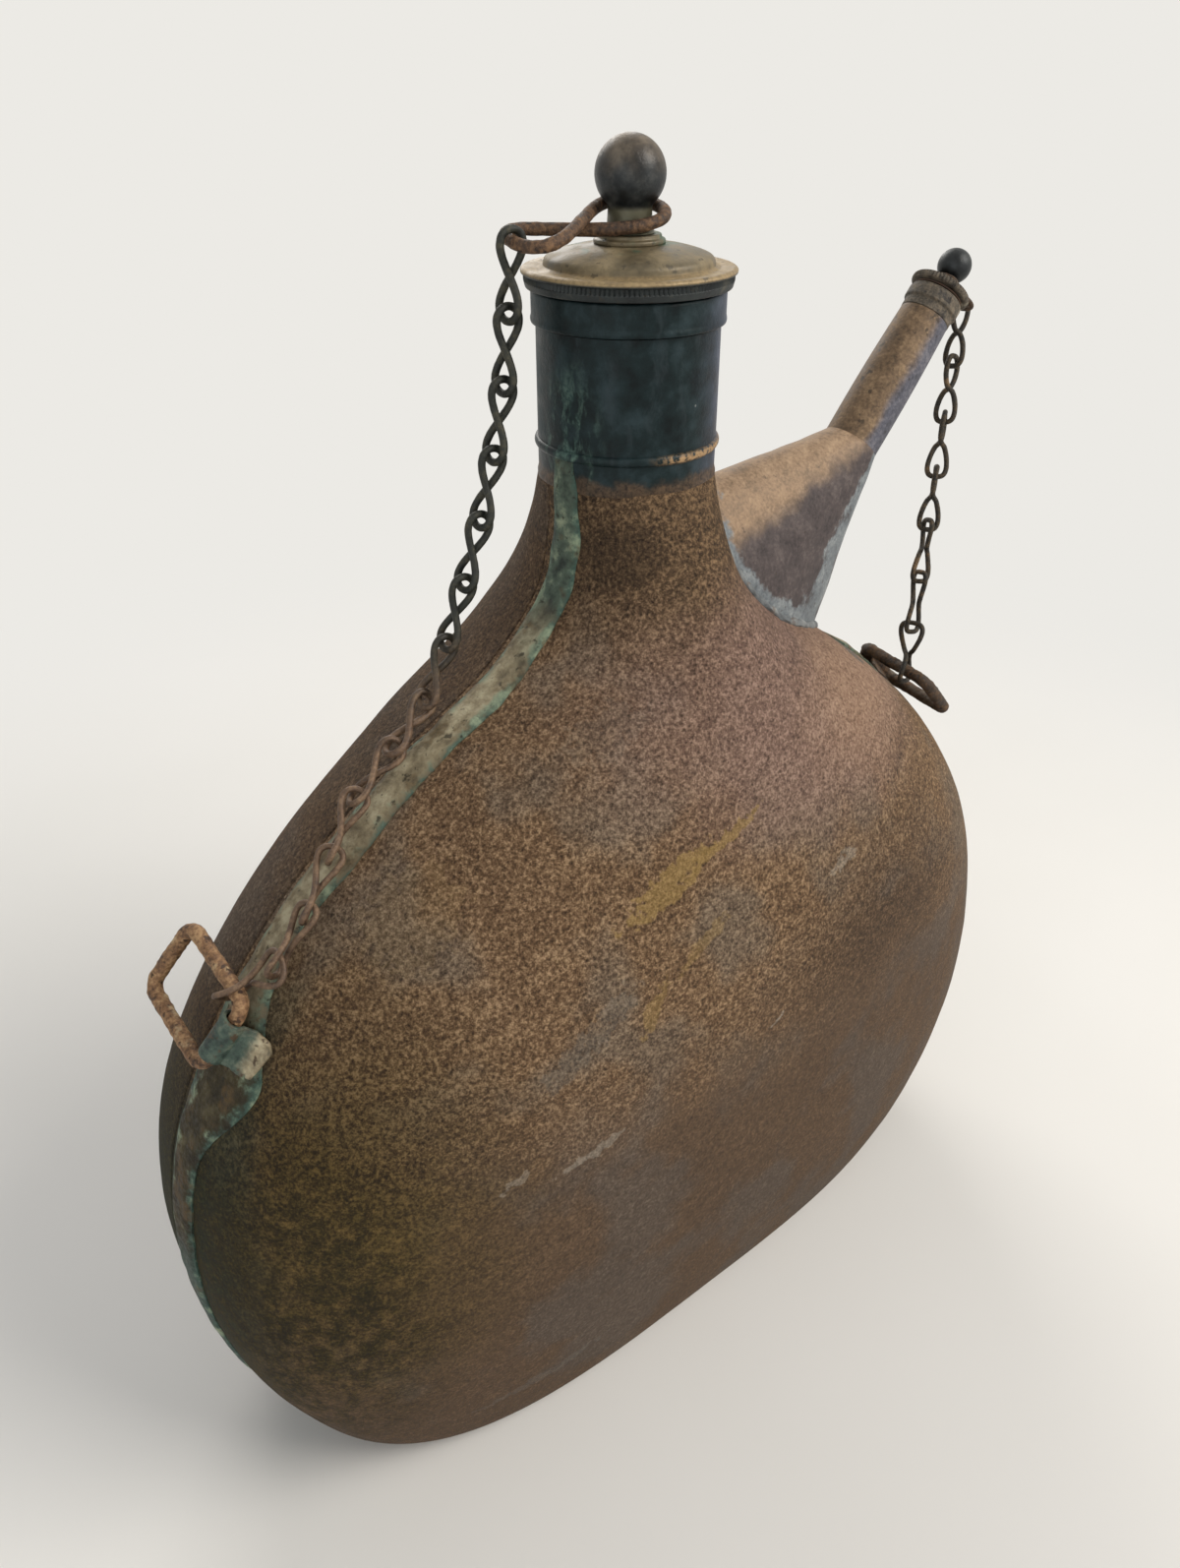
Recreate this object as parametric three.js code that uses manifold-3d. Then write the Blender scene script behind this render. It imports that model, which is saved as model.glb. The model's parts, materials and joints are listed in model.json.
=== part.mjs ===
// Field canteen: two pressed iron shells, a brass neck with a chained screw stopper,
// a side spout with its own chained stopper, and a wire strap loop on each shoulder.
// Millimetres, +Z up, base on Z = 0 under the neck, front face towards -Y, spout towards +X.
import * as THREE from "three";
import Module from "manifold-3d";

const wasm = await Module();
wasm.setup();

// Body
const SHELL_HEIGHT = 228;
const SHELL_HALF_WIDTH = 123;
const SHELL_HALF_DEPTH = 54;
const WALL = 1;
const SQUARENESS = 1.3;
const SQUARE_FADE = 1.6;
const PARTING_Y = 3;
const GAP = 0.3;
const EDGE = 0.5;
const COLLAR_CUT = 10;
const SEAM_THICK = 0.8;
const SEAM_FRONT = -7.5;
const SEAM_BACK = 1.5;
const SEAM_FOOT_SHARE = 0.02;
const SEAM_RIGHT_START = 22;

// Neck and main stopper
const NECK_R = 18;
const NECK_BORE_R = 15.8;
const NECK_HEIGHT = 34.2;
const SPIGOT = 7;
const BEAD_RISE = 5.7;
const BEAD_R = 0.7;
const RIM_HEIGHT = 6;
const RIM_R = NECK_R + 1;
const RIM_SEAT = 0.8;
const ROLL_FOOT = 1.2;
const ROLL_FLAT = 0.4;
const RIM_PROUD = 0.2;
const WASHER_THICK = 0.6;
const FLANGE_R = NECK_R + 2.6;
const FLANGE_THICK = 2.5;
const KNURLS = 48;
const KNURL_DEPTH = 0.35;
const DOME_R = 16.4;
const DOME_RISE = 4;
const DOME_SHARES = [
  [1, 0.12],
  [0.94, 0.45],
  [0.76, 0.72],
  [0.45, 0.9],
  [0, 1],
];
const PLUG_CLEAR = 0.4;
const PLUG_R = NECK_BORE_R - PLUG_CLEAR;
const PLUG_DEPTH = 6;
const PLUG_WALL = 3;
const PLUG_CROWN = 2;
const COLLAR_R = 6.8;
const COLLAR_THICK = 1.4;
const SHANK_R = 4.2;
const SHANK_LENGTH = 4.8;
const BALL_R = 6.6;

// Figure-eight link on the main stopper
const LINK_WIRE = 2.2;
const LINK_HALF = 15.5;
const LINK_WIDTH = 6.7;
const LINK_SEAT = 9.5;
const LINK_TILT = 8;
const LINK_SWING = 7.6;
const LINK_ROLL = 8;
const LINK_PLAY = 0.84;
const LINK_CROSS = 0.15;

// Left chain
const CHAIN_WIRE = 1.6;
const CHAIN_HALF = 7.75;
const CHAIN_WIDTH = 2.4;
const CHAIN_END_WIDTH = 3.5;
const CHAIN_PLAY = 1.15;
const CHAIN_HANGING = 7;
const CHAIN_LYING = 6;
const CHAIN_HOOK = 5;
const CHAIN_SWAY = [5, 5];
const CHAIN_ROLL = 80;
const CHAIN_REST = 0.8;
const CHAIN_LANDING = [0.805, 0.4, 4];
const CHAIN_LYING_ROUTE = [
  [0.779, 0.6, 0],
  [0.746, 0.8, -2],
  [0.717, 0.3, -7],
  [0.69, 0, -10],
  [0.672, -0.6, -13],
];
const HOOK_PLAY = 0.3;

// Strap loops and their brackets
const LOOP_WIRE = 3.2;
const LOOP_BAR = 17;
const LOOP_LEG = 22.5;
const LOOP_CORNER = 3.2;
const LEFT_LOOP = { share: 0.5945, side: -1, shift: -5, twist: -13.6, swing: 11 };
const RIGHT_LOOP = { share: 0.665, side: 1, shift: 3.5, twist: 0, swing: 186 };
const SLEEVE_WALL = 0.8;
const SLEEVE_LENGTH = 10;
const HINGE_RISE = 4.3;
const FOOT_HALF = 6;
const FOOT_DEPTH = 4;
const FOOT_TIP = 0.1;
const FOOT_WAIST_SHARE = 0.55;
const FOOT_WAIST_RISE = 1.6;

// Spout
const SPOUT_SEAT_SHARE = 0.252;
const SPOUT_ROOT = [26.5, 34.3];
const SPOUT_ANGLE = 49.8;
const SPOUT_R = 6.75;
const SPOUT_TIP_R = 6.15;
const SPOUT_WALL = 0.9;
const SPOUT_LENGTH = 34.3;
const SPOUT_FOOT_HALF = 28;
const SPOUT_FOOT_WIDE = 13;
const SPOUT_FOOT_SLOPE = 52;
const SPOUT_FOOT_RISE = 13;
const SPOUT_FOOT_REACH = 1.6;
const SPOUT_FUNNEL_REACH = 1.8;
const SPOUT_FUNNEL_LEAD = 1;
const SPOUT_SEAM_CLEAR = 2;
const SPOUT_HOLE_R = 8;
const FERRULE_LENGTH = 5.4;
const FERRULE_STEP = 2;
const FERRULE_PROUD = 0.6;
const FERRULE_R = SPOUT_TIP_R + FERRULE_PROUD;
const SPOUT_HOLE_START = 0.6;
const SPOUT_HOLE_REACH = 1.7;
const SPOUT_WASHER_THICK = 0.4;
const SPOUT_FLANGE_R = FERRULE_R + 0.7;
const SPOUT_FLANGE_THICK = 1.6;
const SPOUT_PLUG_DEPTH = 2.8;
const SPOUT_SHANK_R = 1.8;
const SPOUT_SHANK_LENGTH = 2.2;
const SPOUT_BALL_R = 4;

// Small figure-eight link and right chain
const SPOUT_LINK_WIRE = 1.2;
const SPOUT_LINK_HALF = 6.7;
const SPOUT_LINK_WIDTH = 3.8;
const SPOUT_LINK_SEAT = 3.9;
const SPOUT_LINK_PLAY = 0.2;
const SPOUT_LINK_CROSS = 0.1;
const RIGHT_WIRE = 1.3;
const RIGHT_HALF = 7.9;
const RIGHT_WIDTH = 2.4;
const RIGHT_END_WIDTH = 3.4;
const RIGHT_LINKS = 7;
const RIGHT_HOOK = 15.5;
const RIGHT_PLAY = 0.5;

// Facets round the turned pieces and along the wires
const LEVELS = 20;
const AROUND = 36;
const NECK_SIDES = 40;
const PLUG_SIDES = 32;
const COLLAR_SIDES = 28;
const KNOB_SIDES = 24;
const SLEEVE_SIDES = 20;
const SPOUT_SIDES = 28;
const SPOUT_PLUG_SIDES = 24;
const SPOUT_KNOB_SIDES = 18;
const WIRE_SIDES = 8;
const THIN_SIDES = 6;
const LINK_STEPS = 40;
const LOOP_STEPS = 36;
const SPOUT_LINK_STEPS = 32;
const CHAIN_STEPS = 18;
const EIGHT_POINTS = 20;
const HALVINGS = 40;

// Heights on the neck axis
const rimTop = SHELL_HEIGHT + NECK_HEIGHT;
const rimFoot = rimTop - RIM_HEIGHT;
const beadZ = SHELL_HEIGHT + BEAD_RISE;
const flangeFoot = rimTop + WASHER_THICK + 2 * GAP;
const flangeTop = flangeFoot + FLANGE_THICK;
const domeTop = flangeTop + DOME_RISE;
const collarTop = domeTop + GAP + COLLAR_THICK;
const ballZ = collarTop + SHANK_LENGTH + Math.sqrt(BALL_R ** 2 - SHANK_R ** 2);

const IRON = { color: 0x5b4636, roughness: 0.85, metalness: 0.35 };
const SOLDER = { color: 0x8b9a90, roughness: 0.6, metalness: 0.5 };
const BRASS = { color: 0x3d4746, roughness: 0.5, metalness: 0.7 };
const BRONZE = { color: 0x6d6350, roughness: 0.6, metalness: 0.6 };
const WIRE = { color: 0x6b4f35, roughness: 0.8, metalness: 0.4 };
const CHAIN = { color: 0x4a443c, roughness: 0.75, metalness: 0.5 };
const LEATHER = { color: 0x4a3526, roughness: 0.9, metalness: 0 };

const group = new THREE.Group();
const vec = (x, y, z) => new THREE.Vector3(x, y, z);
const rad = THREE.MathUtils.degToRad;
const Y_AXIS = vec(0, 1, 0);
const WELD = 2e-3;
const STEPS = [0, -1, 1];
const NEIGHBOURS = STEPS.flatMap((i) => STEPS.flatMap((j) => STEPS.map((k) => [i, j, k])));

// Vertices closer than a few microns joined, with doubled and empty faces left out.
function triangles(geometry) {
  const source = geometry.index ? geometry.toNonIndexed() : geometry;
  const raw = source.getAttribute("position").array;
  const cells = new Map();
  const positions = [];
  const cell = (v, step) => Math.round(v / WELD) + step;
  const find = (x, y, z) => {
    for (const [i, j, k] of NEIGHBOURS) {
      const at = cells.get(`${cell(x, i)},${cell(y, j)},${cell(z, k)}`);
      if (at !== undefined) return at;
    }
    const added = positions.length / 3;
    positions.push(x, y, z);
    cells.set(`${cell(x, 0)},${cell(y, 0)},${cell(z, 0)}`, added);
    return added;
  };
  const count = new Map();
  const faces = [];
  for (let i = 0; i < raw.length; i += 9) {
    const face = [0, 3, 6].map((k) => find(raw[i + k], raw[i + k + 1], raw[i + k + 2]));
    if (new Set(face).size === 3) {
      const key = [...face].sort((a, b) => a - b).join();
      count.set(key, (count.get(key) ?? 0) + 1);
      faces.push({ face, key });
    }
  }
  const kept = faces.filter((f) => count.get(f.key) === 1).flatMap((f) => f.face);
  return { positions, kept };
}

// A closed solid facing out, from any closed geometry.
function solid(geometry) {
  const { positions, kept } = triangles(geometry);
  let volume = 0;
  const at = (i) => vec(positions[3 * i], positions[3 * i + 1], positions[3 * i + 2]);
  for (let i = 0; i < kept.length; i += 3) {
    volume += at(kept[i]).dot(at(kept[i + 1]).cross(at(kept[i + 2])));
  }
  const order = volume < 0 ? kept.map((v, i) => kept[i - (i % 3) + (2 - (i % 3))]) : kept;
  return new wasm.Manifold(
    new wasm.Mesh({
      numProp: 3,
      vertProperties: new Float32Array(positions),
      triVerts: new Uint32Array(order),
    }),
  );
}

function add(name, shape, material) {
  const mesh = shape.getMesh();
  const geometry = new THREE.BufferGeometry();
  geometry.setAttribute("position", new THREE.BufferAttribute(mesh.vertProperties, 3));
  geometry.setIndex(new THREE.BufferAttribute(mesh.triVerts, 1));
  geometry.computeVertexNormals();
  const piece = new THREE.Mesh(geometry, new THREE.MeshStandardMaterial(material));
  piece.name = name;
  group.add(piece);
}

// Turned piece from a profile of [radius, height], standing on +Z, or along an axis.
function turned(profile, sides, origin, axis) {
  const points = profile.map(([r, h]) => new THREE.Vector2(r, h));
  const geometry = new THREE.LatheGeometry(points, sides);
  geometry.rotateX(Math.PI / 2);
  if (axis) {
    geometry.applyQuaternion(new THREE.Quaternion().setFromUnitVectors(vec(0, 0, 1), axis));
    geometry.translate(origin.x, origin.y, origin.z);
  }
  return solid(geometry);
}

const ring = (inner, outer, low, high) => [
  [inner, low],
  [outer, low],
  [outer, high],
  [inner, high],
  [inner, low],
];

const disc = (radius, length) => [
  [0, 0],
  [radius, 0],
  [radius, length],
  [0, length],
];

function arc(radius, centre, from, to, steps) {
  return Array.from({ length: steps + 1 }, (_, i) => {
    const angle = rad(from + ((to - from) * i) / steps);
    return [Math.max(radius * Math.cos(angle), 0), centre + radius * Math.sin(angle)];
  });
}

function box(low, high) {
  const geometry = new THREE.BoxGeometry(high.x - low.x, high.y - low.y, high.z - low.z);
  const middle = low.clone().add(high).multiplyScalar(0.5);
  geometry.translate(middle.x, middle.y, middle.z);
  return solid(geometry);
}

// Round wire bent along a closed run of points.
function wireLoop(points, diameter, sides, steps) {
  const path = new THREE.CatmullRomCurve3(points, true);
  const section = new THREE.Shape();
  section.absarc(0, 0, diameter / 2, 0, 2 * Math.PI);
  const options = { steps, extrudePath: path, bevelEnabled: false, curveSegments: sides / 2 };
  return solid(new THREE.ExtrudeGeometry(section, options));
}

// Solid skinned over a stack of point rings.
function loft(rings) {
  const n = rings[0].length;
  const ends = [rings[0], rings[rings.length - 1]];
  const centres = ends.map((r) => r.reduce((s, p) => s.add(p), vec(0, 0, 0)).divideScalar(n));
  const points = [...rings.flat(), ...centres];
  const index = [];
  for (let k = 0; k + 1 < rings.length; k += 1) {
    for (let j = 0; j < n; j += 1) {
      const a = k * n + j;
      const b = k * n + ((j + 1) % n);
      index.push(a, b, b + n, a, b + n, a + n);
    }
  }
  const last = (rings.length - 1) * n;
  for (let j = 0; j < n; j += 1) {
    index.push(points.length - 2, (j + 1) % n, j);
    index.push(points.length - 1, last + j, last + ((j + 1) % n));
  }
  const geometry = new THREE.BufferGeometry();
  geometry.setAttribute("position", new THREE.Float32BufferAttribute(points.flatMap((p) => [...p]), 3));
  geometry.setIndex(index);
  return solid(geometry);
}

// Body surface: shares of height, of the width beyond the neck and of the depth beyond the neck.
const STATIONS = [
  [0, 0.73, 0.61],
  [0.02, 0.78, 0.67],
  [0.055, 0.84, 0.74],
  [0.11, 0.9, 0.82],
  [0.185, 0.96, 0.9],
  [0.27, 0.995, 0.97],
  [0.37, 1, 1],
  [0.475, 0.955, 1],
  [0.575, 0.845, 0.96],
  [0.675, 0.67, 0.82],
  [0.77, 0.415, 0.63],
  [0.84, 0.16, 0.49],
  [0.9, 0.035, 0.31],
  [0.955, 0.003, 0.125],
  [1, 0, 0],
];
const WIDEST_SHARE = 0.4;
const outline = new THREE.CatmullRomCurve3(
  STATIONS.map(([h, w, d]) =>
    vec(
      NECK_R + w * (SHELL_HALF_WIDTH - NECK_R),
      NECK_R + d * (SHELL_HALF_DEPTH - NECK_R),
      h * SHELL_HEIGHT,
    ),
  ),
);

function surface(t, angle) {
  const { x: a, y: b, z } = outline.getPoint(t);
  const power = 2 / (2 + SQUARENESS * Math.max(1 - z / SHELL_HEIGHT, 0) ** SQUARE_FADE);
  const bend = (v) => Math.sign(v) * Math.abs(v) ** power;
  const c = Math.abs(Math.cos(angle)) < 1e-9 ? 0 : Math.cos(angle);
  const s = Math.abs(Math.sin(angle)) < 1e-9 ? 0 : Math.sin(angle);
  return vec(a * bend(c), b * bend(s), z);
}

function normal(t, angle) {
  const e = 1e-3;
  const up = surface(Math.min(t + e, 1), angle).sub(surface(Math.max(t - e, 0), angle));
  const along = surface(t, angle + 0.05).sub(surface(t, angle - 0.05));
  return along.cross(up).normalize();
}

// The whole body as one solid, its surface moved out by an offset.
function body(offset) {
  const rings = [];
  for (let k = 0; k <= LEVELS; k += 1) {
    const points = [];
    for (let j = 0; j < AROUND; j += 1) {
      const angle = (2 * Math.PI * j) / AROUND;
      const p = surface(k / LEVELS, angle);
      if (offset) {
        p.addScaledVector(normal(k / LEVELS, angle), offset);
        p.z = Math.max(p.z, -offset);
      }
      points.push(p);
    }
    rings.push(points);
  }
  if (offset < 0) {
    rings.push(rings[LEVELS].map((p) => vec(p.x, p.y, SHELL_HEIGHT + COLLAR_CUT)));
  }
  return loft(rings);
}

// Point and frame on the edge of the body, in the middle plane: side is -1 or 1.
function edgeAt(share, side) {
  let low = 0;
  let high = 1;
  for (let i = 0; i < HALVINGS; i += 1) {
    const middle = (low + high) / 2;
    if (outline.getPoint(middle).z < share * SHELL_HEIGHT) low = middle;
    else high = middle;
  }
  const p = outline.getPoint(low);
  const q = outline.getPoint(Math.min(low + 1e-3, 1));
  const up = vec(side * (q.x - p.x), 0, q.z - p.z).normalize();
  return { point: vec(side * p.x, 0, p.z), up, out: vec(side * up.z, 0, -side * up.x) };
}

// Height share on the shoulder where the body is this wide.
function shoulderShare(width) {
  let low = WIDEST_SHARE;
  let high = 1;
  for (let i = 0; i < HALVINGS; i += 1) {
    const middle = (low + high) / 2;
    if (edgeAt(middle, 1).point.x > width) low = middle;
    else high = middle;
  }
  return low;
}

const far = 2 * SHELL_HALF_WIDTH + SHELL_HEIGHT;
const grown = body(GAP);
const seamOuter = body(GAP + SEAM_THICK);
const seamClear = body(2 * GAP + SEAM_THICK);

// Spout frame
const spoutAxis = vec(Math.cos(rad(SPOUT_ANGLE)), 0, Math.sin(rad(SPOUT_ANGLE)));
const seatX = NECK_R + SPOUT_SEAT_SHARE * (SHELL_HALF_WIDTH - NECK_R);
const seat = edgeAt(shoulderShare(seatX), 1).point;
const spoutRoot = vec(seat.x + SPOUT_ROOT[0], 0, seat.z + SPOUT_ROOT[1]);
const spoutFoot = vec(seat.x, 0, seat.z + SPOUT_FOOT_RISE);
const along = (d) => spoutRoot.clone().addScaledVector(spoutAxis, d);

function ellipse(centre, long, wide) {
  return Array.from({ length: SPOUT_SIDES }, (_, i) => {
    const angle = (2 * Math.PI * i) / SPOUT_SIDES;
    return centre
      .clone()
      .addScaledVector(long, Math.cos(angle))
      .addScaledVector(Y_AXIS, wide * Math.sin(angle));
  });
}

function footLoft(inset, reach, lead) {
  const across = vec(Math.sin(rad(SPOUT_ANGLE)), 0, -Math.cos(rad(SPOUT_ANGLE)));
  const slope = vec(Math.cos(rad(SPOUT_FOOT_SLOPE)), 0, -Math.sin(rad(SPOUT_FOOT_SLOPE)));
  const near = ellipse(spoutRoot, across.multiplyScalar(SPOUT_R - inset), SPOUT_R - inset);
  slope.multiplyScalar(SPOUT_FOOT_HALF - inset);
  const wide = ellipse(spoutFoot, slope, SPOUT_FOOT_WIDE - inset);
  const deep = near.map((p, i) => p.clone().lerp(wide[i], reach));
  const rings = [near, deep];
  if (lead) rings.unshift(near.map((p) => p.clone().addScaledVector(spoutAxis, lead)));
  return loft(rings);
}

// Shell halves, open at the collar and under the spout
const holeAxis = spoutFoot.clone().sub(spoutRoot).normalize();
const holeStart = spoutRoot.clone().lerp(spoutFoot, SPOUT_HOLE_START);
const holeLength = SPOUT_HOLE_REACH * spoutRoot.distanceTo(spoutFoot);
const hole = turned(disc(SPOUT_HOLE_R, holeLength), KNOB_SIDES, holeStart, holeAxis);
const shell = body(0).subtract(body(-WALL)).subtract(hole);
const frontSpace = box(vec(-far, -far, -WALL), vec(far, PARTING_Y - GAP / 2, far));
const backSpace = box(vec(-far, PARTING_Y + GAP / 2, -WALL), vec(far, far, far));
add("body_front_half", shell.intersect(frontSpace), IRON);
add("body_back_half", shell.intersect(backSpace), IRON);

// Spout base, cut to sit on the shoulder
const spoutFunnel = footLoft(SPOUT_WALL, SPOUT_FUNNEL_REACH, SPOUT_FUNNEL_LEAD);
const spoutBase = footLoft(0, SPOUT_FOOT_REACH, 0).subtract(spoutFunnel).subtract(grown);
add("spout_base", spoutBase, IRON);

// Solder along both edge seams
const seamLow = SEAM_FOOT_SHARE * SHELL_HEIGHT;
const seamHigh = SHELL_HEIGHT - 2 * GAP;
const seamSkin = seamOuter.subtract(grown);
const leftSeam = box(vec(-far, SEAM_FRONT, seamLow), vec(0, SEAM_BACK, seamHigh));
const spoutClear = footLoft(-SPOUT_SEAM_CLEAR, SPOUT_FUNNEL_REACH, 0);
const seamTop = edgeAt(shoulderShare(seat.x + SEAM_RIGHT_START), 1).point.z;
const rightSeam = box(vec(0, SEAM_FRONT, seamLow), vec(far, SEAM_BACK, seamTop));
add("seam_solder_left", seamSkin.intersect(leftSeam), SOLDER);
add("seam_solder_right", seamSkin.intersect(rightSeam).subtract(spoutClear), SOLDER);

// Neck
const spigotR = NECK_R - WALL - GAP;
const neckFoot = SHELL_HEIGHT + GAP;
const rimSeatR = NECK_R - RIM_SEAT + GAP;
add(
  "neck_tube",
  turned(
    [
      [NECK_BORE_R, SHELL_HEIGHT - SPIGOT],
      [spigotR, SHELL_HEIGHT - SPIGOT],
      [spigotR, neckFoot],
      [NECK_R, neckFoot],
      [NECK_R, beadZ - ROLL_FOOT * BEAD_R],
      [NECK_R + BEAD_R, beadZ - ROLL_FLAT * BEAD_R],
      [NECK_R + BEAD_R, beadZ + ROLL_FLAT * BEAD_R],
      [NECK_R, beadZ + ROLL_FOOT * BEAD_R],
      [NECK_R, rimFoot - GAP],
      [rimSeatR - GAP, rimFoot - GAP],
      [rimSeatR - GAP, rimTop - RIM_PROUD],
      [NECK_BORE_R, rimTop - RIM_PROUD],
      [NECK_BORE_R, SHELL_HEIGHT - SPIGOT],
    ],
    NECK_SIDES,
  ),
  BRASS,
);
add(
  "neck_rim",
  turned(
    [
      [rimSeatR, rimFoot],
      [RIM_R - EDGE, rimFoot],
      [RIM_R, rimFoot + EDGE],
      [RIM_R, rimTop],
      [rimSeatR, rimTop],
      [rimSeatR, rimFoot],
    ],
    NECK_SIDES,
  ),
  BRASS,
);

// Main stopper
const washer = ring(PLUG_R + 2 * GAP, RIM_R - EDGE, rimTop + GAP, rimTop + GAP + WASHER_THICK);
add("stopper_washer", turned(washer, PLUG_SIDES), LEATHER);
const plugTop = flangeFoot - GAP;
add(
  "stopper_plug",
  turned(
    [
      [0, plugTop],
      [PLUG_R, plugTop],
      [PLUG_R, plugTop - PLUG_DEPTH + 2 * EDGE],
      [PLUG_R - 2 * EDGE, plugTop - PLUG_DEPTH],
      [PLUG_R - PLUG_WALL, plugTop - PLUG_DEPTH],
      [PLUG_R - PLUG_WALL, plugTop - PLUG_CROWN],
      [0, plugTop - PLUG_CROWN],
    ],
    PLUG_SIDES,
  ),
  BRASS,
);
const teeth = new THREE.Shape(
  Array.from({ length: 2 * KNURLS }, (_, i) => {
    const r = FLANGE_R - (i % 2) * KNURL_DEPTH;
    const angle = (Math.PI * i) / KNURLS;
    return new THREE.Vector2(r * Math.cos(angle), r * Math.sin(angle));
  }),
);
const knurl = new THREE.ExtrudeGeometry(teeth, { depth: FLANGE_THICK - 2 * EDGE, bevelEnabled: false });
knurl.translate(0, 0, flangeFoot + EDGE);
const domeEye = COLLAR_R - EDGE;
const dome = turned(
  [
    [0, flangeFoot],
    [FLANGE_R - 2 * EDGE, flangeFoot],
    [FLANGE_R - EDGE, flangeFoot + EDGE],
    [FLANGE_R - EDGE, flangeTop - ROLL_FOOT * EDGE],
    [FLANGE_R, flangeTop - EDGE],
    [FLANGE_R, flangeTop - ROLL_FLAT * EDGE],
    [FLANGE_R - EDGE, flangeTop],
    [DOME_R + EDGE, flangeTop],
    ...DOME_SHARES.map(([r, h]) => [domeEye + r * (DOME_R - domeEye), flangeTop + h * DOME_RISE]),
    [0, domeTop],
  ],
  NECK_SIDES,
);
add("stopper_cap", dome.add(solid(knurl)), BRONZE);
add(
  "stopper_collar",
  turned(
    [
      [0, domeTop + GAP],
      [COLLAR_R - EDGE, domeTop + GAP],
      [COLLAR_R, domeTop + GAP + EDGE],
      [COLLAR_R, collarTop - EDGE],
      [COLLAR_R - EDGE, collarTop],
      [0, collarTop],
    ],
    COLLAR_SIDES,
  ),
  BRONZE,
);

// Profile of a ball on a shank
function knob(shankR, ballR, foot, centre) {
  const start = -THREE.MathUtils.radToDeg(Math.acos(shankR / ballR));
  return [[0, foot], [shankR, foot], ...arc(ballR, centre, start, 90, KNOB_SIDES / 2)];
}
add("stopper_knob", turned(knob(SHANK_R, BALL_R, collarTop + GAP, ballZ), KNOB_SIDES), BRASS);

// Twisted wire figure eight: local points along s, u and v.
function eight(half, width, rise, twist) {
  return Array.from({ length: EIGHT_POINTS }, (_, i) => {
    const t = (2 * Math.PI * i) / EIGHT_POINTS;
    const turn = rad(twist / 2) * Math.cos(t);
    const u = width * Math.sin(2 * t);
    const v = rise * Math.sin(t) ** 3;
    return vec(
      half * Math.cos(t),
      u * Math.cos(turn) - v * Math.sin(turn),
      u * Math.sin(turn) + v * Math.cos(turn),
    );
  });
}

function place(points, origin, s, u, v) {
  return points.map((p) =>
    origin.clone().addScaledVector(s, p.x).addScaledVector(u, p.y).addScaledVector(v, p.z),
  );
}

// Link round the main stopper's shank, its outer loop over the left edge of the flange
const linkRise = LINK_WIRE / 2 + LINK_CROSS;
const linkTurn = new THREE.Euler(rad(LINK_ROLL), rad(-LINK_TILT), rad(-LINK_SWING), "ZYX");
const linkS = vec(1, 0, 0).applyEuler(linkTurn);
const linkU = vec(0, 1, 0).applyEuler(linkTurn);
const linkV = vec(0, 0, 1).applyEuler(linkTurn);
const linkSeat = vec(0, 0, collarTop + GAP + LINK_WIRE / 2 + linkRise + LINK_PLAY);
const linkMiddle = linkSeat.clone().addScaledVector(linkS, -LINK_SEAT);
const linkEnd = linkMiddle.clone().addScaledVector(linkS, -LINK_HALF);
const linkPoints = place(eight(LINK_HALF, LINK_WIDTH, linkRise, 0), linkMiddle, linkS, linkU, linkV);
add("stopper_link", wireLoop(linkPoints, LINK_WIRE, WIRE_SIDES, LINK_STEPS), WIRE);

// Strap loop frames: the hinge bar lies along the seam or a little turned from it.
function loopFrame({ share, side, shift, twist, swing }) {
  const { point, up, out } = edgeAt(share, side);
  point.y = (SEAM_FRONT + SEAM_BACK) / 2 + shift;
  up.applyAxisAngle(out, rad(twist));
  const across = Y_AXIS.clone().applyAxisAngle(out, rad(twist));
  const hinge = point.clone().addScaledVector(out, HINGE_RISE);
  const leg = across.clone().multiplyScalar(Math.cos(rad(swing)));
  leg.addScaledVector(out, Math.sin(rad(swing)));
  return { point, up, out, across, hinge, leg };
}

function strapLoop(frame) {
  const at = (a, b) => frame.hinge.clone().addScaledVector(frame.up, a).addScaledVector(frame.leg, b);
  const half = LOOP_BAR / 2;
  const r = LOOP_CORNER;
  const corner = (ca, cb, from) =>
    [0, 45, 90].map((d) => at(ca + r * Math.cos(rad(from + d)), cb + r * Math.sin(rad(from + d))));
  const points = [
    at(0, 0),
    ...corner(half - r, r, -90),
    at(half, LOOP_LEG / 2),
    ...corner(half - r, LOOP_LEG - r, 0),
    at(0, LOOP_LEG),
    ...corner(r - half, LOOP_LEG - r, 90),
    at(-half, LOOP_LEG / 2),
    ...corner(r - half, r, 180),
  ];
  return wireLoop(points, LOOP_WIRE, WIRE_SIDES, LOOP_STEPS);
}

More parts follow.
